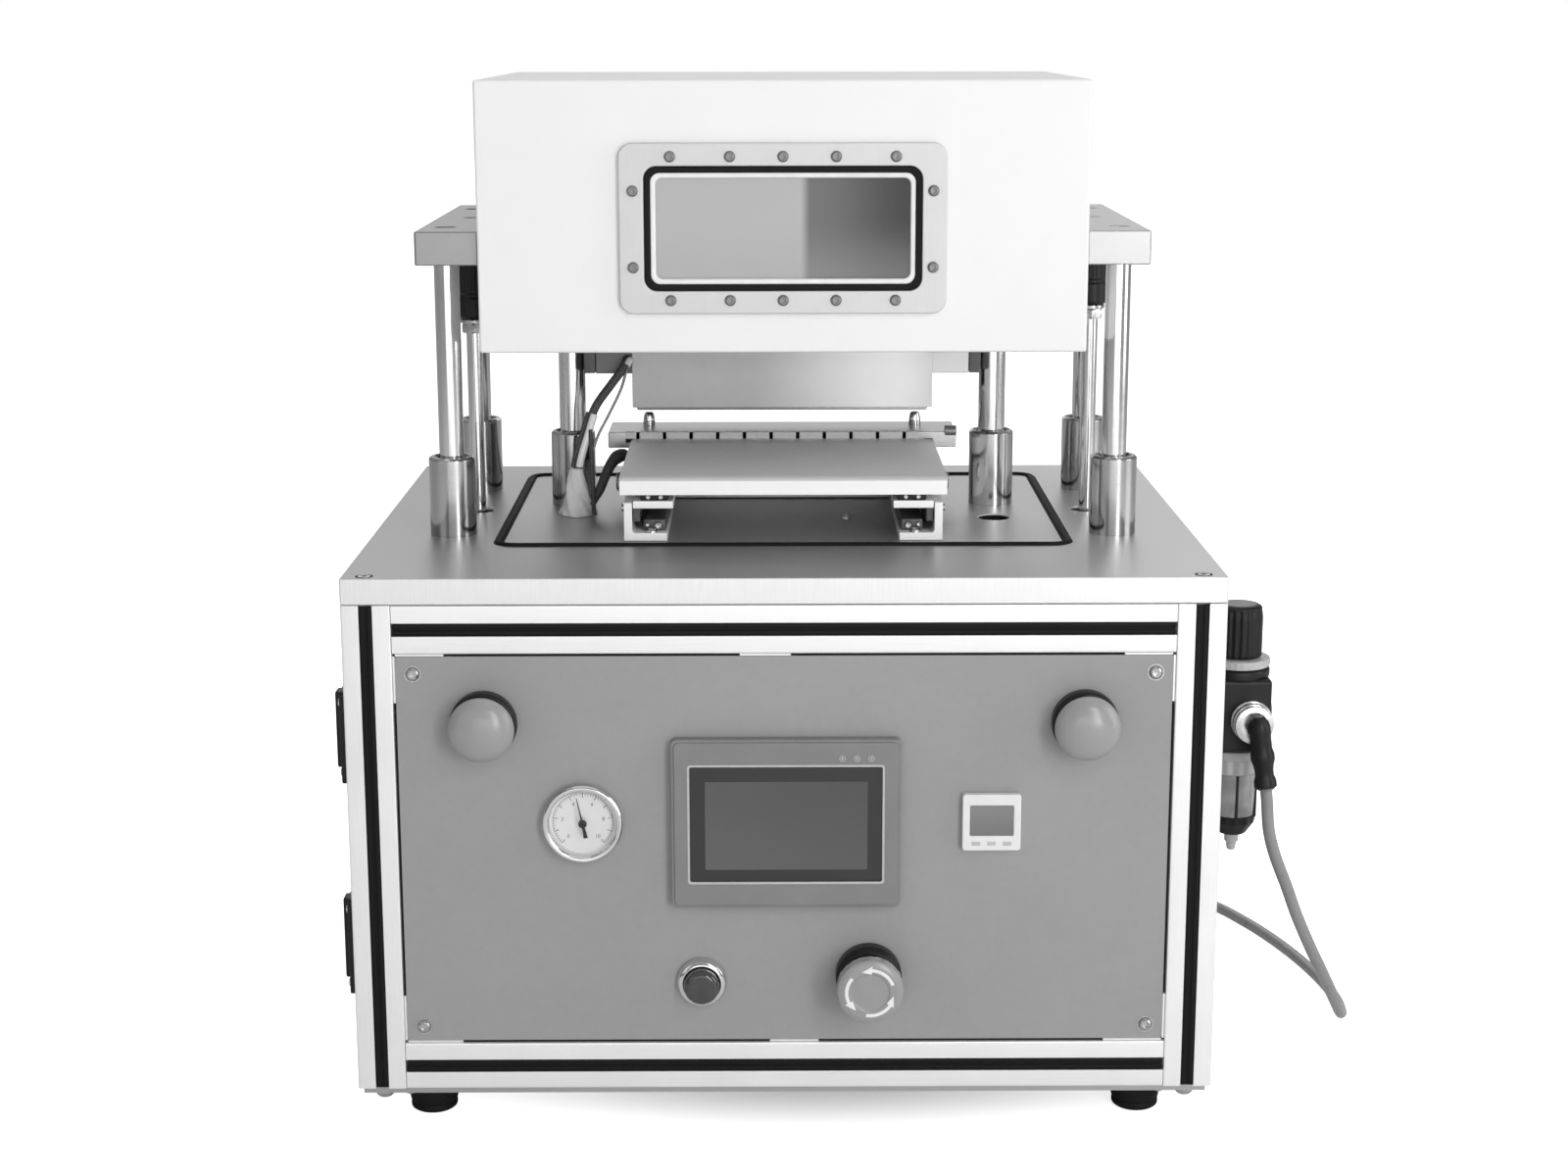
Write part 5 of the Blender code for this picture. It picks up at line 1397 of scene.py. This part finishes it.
case_x, case_y, case_z = span("pressure_display")
CASE_AT = (float(case_x.mean()), float(case_z.mean()))
case_white = Finish("white_case", 0.38, 0.0)
case_white.tone(case_white.noise(12, 2), 0.74, 0.82).relief(case_white.noise(0.8, 2), 0.015)
lcd_grey = Finish("grey_display", 0.25, 0.0, Coat_Weight=0.4)
lcd_up = lcd_grey.step(lcd_grey.along("Z"), (CASE_AT[1] - 8) * MM, (CASE_AT[1] + 10) * MM)
lcd_grey.tone(lcd_up * 0.8 + lcd_grey.noise(3, 2) * 0.2, 0.16, 0.22)
case_front = case_y[0]
LCD_SPOT, CASE_KEY_X, CASE_KEY_DROP = (CASE_AT[0], CASE_AT[1] + 1.2), (-9.4, 0, 9.4), 13.2
case_shell = plate([about(CASE_AT, 17.7, 17.7, 1.8), about(LCD_SPOT, 13.3, 9.6, 0.8)], case_front, case_y[1],
                   "-Y", 0.6, 2)
case_lcd = plate([about(LCD_SPOT, 13.5, 9.8, 0.5)], case_front + 0.7, case_front + 1.6, "-Y", 0.05, 0)
case_keys = [plate([about((CASE_AT[0] + x, CASE_AT[1] - CASE_KEY_DROP), 2.6, 1.25, 0.6)], case_front - 0.35,
                   case_front + 0.4, "-Y", 0.2, 1) for x in CASE_KEY_X]
piece("vacuum_display", [(case_white, case_shell), (lcd_grey, case_lcd), (line_pale, *case_keys)], "root",
      "pressure_display")


# ---- Two-hand start buttons -----------------------------------------------------------
# Grey mushroom caps on sprung stems, each in a black collar, at the panel's upper corners.

cap_grey = Finish("grey_button", 0.3, 0.0, Coat_Weight=0.25, Coat_Roughness=0.2)
cap_grain = cap_grey.noise(0.8, 2)
cap_grey.tone(cap_grey.noise(18, 3), 0.28, 0.33).relief(cap_grain, 0.01)
COLLAR = softened([(19, 9), (20.3, 7.5), (20.3, 0), (9.6, 0), (9.6, 9)], 0.8, 3, True)
# Each point of the cap, and the radius that its corner is rounded by.
CAP_POINTS = [(0, 26), (7, 25.4), (13, 23.6), (17, 21), (19.4, 18), (20, 16.2), (19.4, 15), (9, 15),
              (9, 6), (0, 6)]
CAP_ROUNDS = [0, 3, 3, 3, 2, 1, 0.7, 1, 0.5, 0]
CAP = softened(CAP_POINTS, CAP_ROUNDS)
for side in ("left", "right"):
    at = seat("palm_collar_" + side)
    collar = turned(COLLAR, at, "-Y", 72, hollow=True)
    piece("start_collar_" + side, [(plastic_black, collar)], "root", "palm_collar_" + side)
    piece("start_cap_" + side, [(cap_grey, turned(CAP, at, "-Y", 72))], "palm_" + side,
          "palm_button_" + side)


# ---- Single start button --------------------------------------------------------------
# A push button with a dark lens that stands out of a polished bezel.

at = seat("start_bezel")
ring_section = softened([(12.3, 6.5), (14.2, 5.6), (15.5, 2.8), (15.5, 0), (11.5, 0), (11.5, 6.5)], 0.7, 3,
                        True)
start_ring = turned(ring_section, at, "-Y", 96, hollow=True)
piece("start_ring", [(chrome, start_ring)], "root", "start_bezel")
lens_dark = Finish("dark_lens", 0.14, 0.0, Coat_Weight=0.6, Coat_Roughness=0.05)
lens_dark.tone(lens_dark.noise(5, 2), 0.025, 0.06).relief(lens_dark.noise(1.4, 1), 0.03)
lens_profile = softened([(0, 14.5), (8.6, 14.2), (10.4, 12.6), (11, 10.5), (11, 4), (0, 4)], 0.9)
start_lens = turned(lens_profile, at, "-Y", 64)
piece("start_lens", [(lens_dark, start_lens)], "start", "start_button")


# ---- Emergency stop -------------------------------------------------------------------
# Push to stop, twist to release: a black collar, a sliding stem, and a grey head with a
# fluted rim and three white curved arrows inlaid in its face.

at = seat("stop_collar")
collar_section = softened([(17.6, 12), (20.3, 8), (20.3, 0), (9.6, 0), (9.6, 12)], 0.9, 3, True)
stop_ring = turned(collar_section, at, "-Y", 72, hollow=True)
piece("stop_ring", [(plastic_black, stop_ring)], "root", "stop_collar")
stem_profile = softened([(0, 19.7), (6, 19.7), (6, 14), (9, 14), (9, 5), (0, 5)], 0.5)
stop_shaft = turned(stem_profile, at, "-Y", 48)
piece("stop_shaft", [(plastic_black, stop_shaft)], "stop_slide", "stop_stem")
FACE_OUT = at[1] - span("stop_head")[1][0]
stop_profile = softened([
    (0, FACE_OUT - 0.9), (11.4, FACE_OUT - 0.9), (11.9, FACE_OUT), (16.8, FACE_OUT), (19.6, FACE_OUT - 1.2),
    (20.8, FACE_OUT - 3.8), (20.8, FACE_OUT - 8), (18, FACE_OUT - 11), (12, 20), (0, 20)], 0.9)
stop_head = turned(stop_profile, at, "-Y", 144, ribs=12, rib_depth=1.1,
                   ribbed=(FACE_OUT - 8.4, FACE_OUT - 2.6))
arrow_white = Finish("white_inlay", 0.35, 0.0)
arrow_white.tone(arrow_white.noise(5, 2), 0.8, 0.88)


BAND_INNER, BAND_OUTER, BAND_TURN, TIP_TURN = 13.4, 15.4, 66, 92


def curved_arrow(start):
    """An arrow bent round the face: a band between two arcs, then a wider pointed head."""
    band = np.radians(np.linspace(0, BAND_TURN, 12) + start)
    arc = np.column_stack([np.cos(band), np.sin(band)])
    neck, tip = band[-1], radians(start + TIP_TURN)
    head = [(reach * cos(angle), reach * sin(angle))
            for reach, angle in ((17.0, neck), (14.2, tip), (11.9, neck))]
    return np.vstack([arc * BAND_OUTER, head, arc[::-1] * BAND_INNER])


face_y = at[1] - FACE_OUT
arrows = [plate([curved_arrow(start) + (at[0], at[2])], face_y - 0.18, face_y + 0.3, "-Y", 0.05, 0)
          for start in (20, 140, 260)]
mushroom = [(cap_grey, stop_head), (arrow_white, *arrows)]
piece("stop_mushroom", mushroom, "stop_turn", "stop_head")


# ---- Air filter regulator -------------------------------------------------------------
# On the right side: a black moulded body on its bracket with a pale lock ring, a fluted
# knob above, a clear bowl in its guard below, and a nickel tap with the black elbow that
# the hose plugs into.

reg_x, reg_y = middle("regulator_knob")[:2]
BODY_HALF, BODY_LOW, BODY_TOP = 20.0, DECK - 147, DECK - 97
HEAD_AT = (reg_x, reg_y, BODY_TOP)
body_box = block((reg_x - BODY_HALF, reg_x + BODY_HALF), (reg_y - BODY_HALF, reg_y + BODY_HALF),
                 (BODY_LOW, BODY_TOP), 3.2, 4)
shoulder_profile = softened([(0, -2), (20, -2), (21, 0), (21, 4.5), (19, 6.0), (0, 6.0)], 1.0)
shoulder = turned(shoulder_profile, HEAD_AT, "Z", 64)
ring_profile = softened([(0, 6.2), (20.4, 6.2), (21, 7), (21, 11), (20.2, 11.8), (0, 11.8)], 0.5)
lock_ring = turned(ring_profile, HEAD_AT, "Z", 96, ribs=32, rib_depth=0.5, ribbed=(6.8, 11.2))
side_x = span("regulator_body")[0][0]
bracket_z = (BODY_LOW + 14, BODY_TOP - 12)
bracket = block((side_x, reg_x - 15), (reg_y - 12, reg_y + 12), bracket_z, 1.0)
flange = plate([rounded((reg_y - 17, reg_y + 17), (BODY_LOW + 9, BODY_TOP - 7), 3)], side_x + 0.1, side_x + 3,
               "X", 0.4)
flange_screws = [screw((side_x + 3, reg_y + y, z), "X", 2.8, 1.8) for y in (-14, 14) for z in bracket_z]
light_ring = Finish("pale_lock_ring", 0.36, 0.0)
light_ring.tone(light_ring.noise(6, 2), 0.42, 0.54).relief(light_ring.noise(0.8, 2), 0.02)
blind_profile = softened([(0, 0), (9, 0), (9, 2.2), (5.5, 2.2), (5.0, 1.4), (0, 1.4)], 0.4)
blind_cap = turned(blind_profile, (reg_x + BODY_HALF, reg_y, BODY_LOW + 25), "X", 40)
piece("regulator_housing", [(plastic_black, body_box, shoulder, bracket, blind_cap), (light_ring, lock_ring),
                            (aluminium, flange), (stainless, *flange_screws)],
      "root", "regulator_body")

knob_low, knob_high = span("regulator_knob")[2]
knob_tall = knob_high - knob_low
knob_profile = softened([
    (0, knob_tall), (12.2, knob_tall), (14.6, knob_tall - 1.6), (15.0, knob_tall - 4), (15.5, knob_tall - 8),
    (15.5, 1.2), (14.6, 0), (0, 0)], 0.8)
fluted_form = turned(knob_profile, (reg_x, reg_y, knob_low), "Z", 160, ribs=20, rib_depth=1.0,
                     ribbed=(0.9, knob_tall - 3))
top_disc = disc(10.8, 0.5, (reg_x, reg_y, knob_high - 0.3), "Z", 48, 0.2)
piece("fluted_knob", [(plastic_black, fluted_form), (bezel_grey, top_disc)],
      "regulator_turn", "regulator_knob")

bowl_z = span("regulator_bowl")[2]
bowl_clear = Finish("clear_bowl", 0.12, 0.0, Coat_Weight=0.5, Coat_Roughness=0.06)
bowl_clear.tone(bowl_clear.noise(11, 3), 0.20, 0.52)
bowl_clear.set(Alpha=0.8)
# Heights on the bowl are shares of its length, in units of a 57th.
UNITS = 57
unit = (bowl_z[1] - bowl_z[0]) / UNITS


def bowl_part(profile, edge, steps, ribbed=None, **ribs):
    """A turned part of the bowl: its profile's heights, and its ribs', are in units."""
    scaled = softened([(radius, height * unit) for radius, height in profile], edge)
    band = ribbed and (ribbed[0] * unit, ribbed[1] * unit)
    return turned(scaled, (reg_x, reg_y, bowl_z[0]), "Z", steps, ribbed=band, **ribs)


neck_nut = bowl_part([(0, UNITS), (17.5, UNITS), (18.5, 52), (18.5, 45), (16, 44), (0, 44)], 0.8, 96,
                     ribbed=(45, 52.5), ribs=16, rib_depth=0.9)
bowl_wall = bowl_part([(0, 44.2), (15.9, 44.2), (15.4, 30), (14.6, 19), (0, 19)], 0.8, 64)
guard = bowl_part([(0, 21), (15.6, 21), (15.2, 17), (9, 10), (5, 9), (0, 9)], 0.9, 96,
                  ribbed=(12, 20.4), ribs=12, rib_depth=0.7)
tip = bowl_part([(0, 9.2), (4.8, 9.2), (4.6, 5), (3.4, 4.4), (3.0, 1), (2.2, 0), (0, 0)], 0.5, 32)
element = bowl_part([(0, 42), (8, 42), (8, 26), (0, 26)], 0.5, 32)
GUARD_R, RIB_HALF = 15.6, 0.9
rib_at = [(reg_x + GUARD_R * cos(a), reg_y + GUARD_R * sin(a)) for a in np.radians(np.arange(-150, 151, 60))]
ribs = [block((x - RIB_HALF, x + RIB_HALF), (y - RIB_HALF, y + RIB_HALF),
              (bowl_z[0] + 20 * unit, bowl_z[0] + 44 * unit), 0.4, 1) for x, y in rib_at]
piece("filter_bowl", [(bowl_clear, bowl_wall), (plastic_black, guard, *ribs), (light_ring, neck_nut, tip),
                      (case_white, element)], "root", "regulator_bowl")

FIT_AT = (307.3, span("inlet_elbow")[1][1], 224.0)
tap_profile = softened([(0, 0), (13.6, 0), (13.6, 2.6), (11.6, 3.4), (11.6, 4.6), (13.2, 5.4), (13.2, 8.6),
                        (11.4, 9.4), (11.4, 10.4), (12.6, 11), (12.6, 13.4), (9, 14), (0, 14)], 0.4)
tap = turned(tap_profile, (FIT_AT[0] - 1, *FIT_AT[1:]), "-Y", 64)
hex_ring = disc(7.0, 19.5, FIT_AT, "-Y", 40, 0.8, low=12.9)
DROP_START, DROP_END = np.array([FIT_AT[0], 110.0, 232.0]), np.array([313.7, 110.0, 185.0])
DROP_SWELL = [0.45, 0.86, 1, 1, 0.97, 0.97, 0.97, 1.12, 1.12, 0.97, 0.88, 0.88, 1.06, 1.06]
drop_by = DROP_END - DROP_START
drop_line = DROP_START + drop_by * np.linspace(0, 1, len(DROP_SWELL))[:, None]
drop = swept(drop_line, circle(7.0, 28), False, DROP_SWELL)
release_line = DROP_END + drop_by / np.linalg.norm(drop_by) * np.array([[-0.8], [0.2], [1.6], [2.0]])
release = swept(release_line, circle(5.9, 28), False, [0.9, 1, 1, 0.9])
piece("push_in_elbow", [(nickel, tap), (plastic_black, drop, hex_ring), (bezel_grey, release)],
      "root", "inlet_elbow")


# ---- Cylinders and yoke inside the cabinet --------------------------------------------
# Two lift cylinders and the press cylinder hang under the deck, and the yoke joins the
# press posts. They show through the open door.

cylinder_alloy = machined("hard_anodised_tube", 0.34, 0.46, (1, 1, 0.04), 0.36, 0.8)
for node in ("lift_cylinder_left", "lift_cylinder_right", "press_cylinder"):
    recoat(node, cylinder_alloy)
recoat("press_yoke", die_steel)
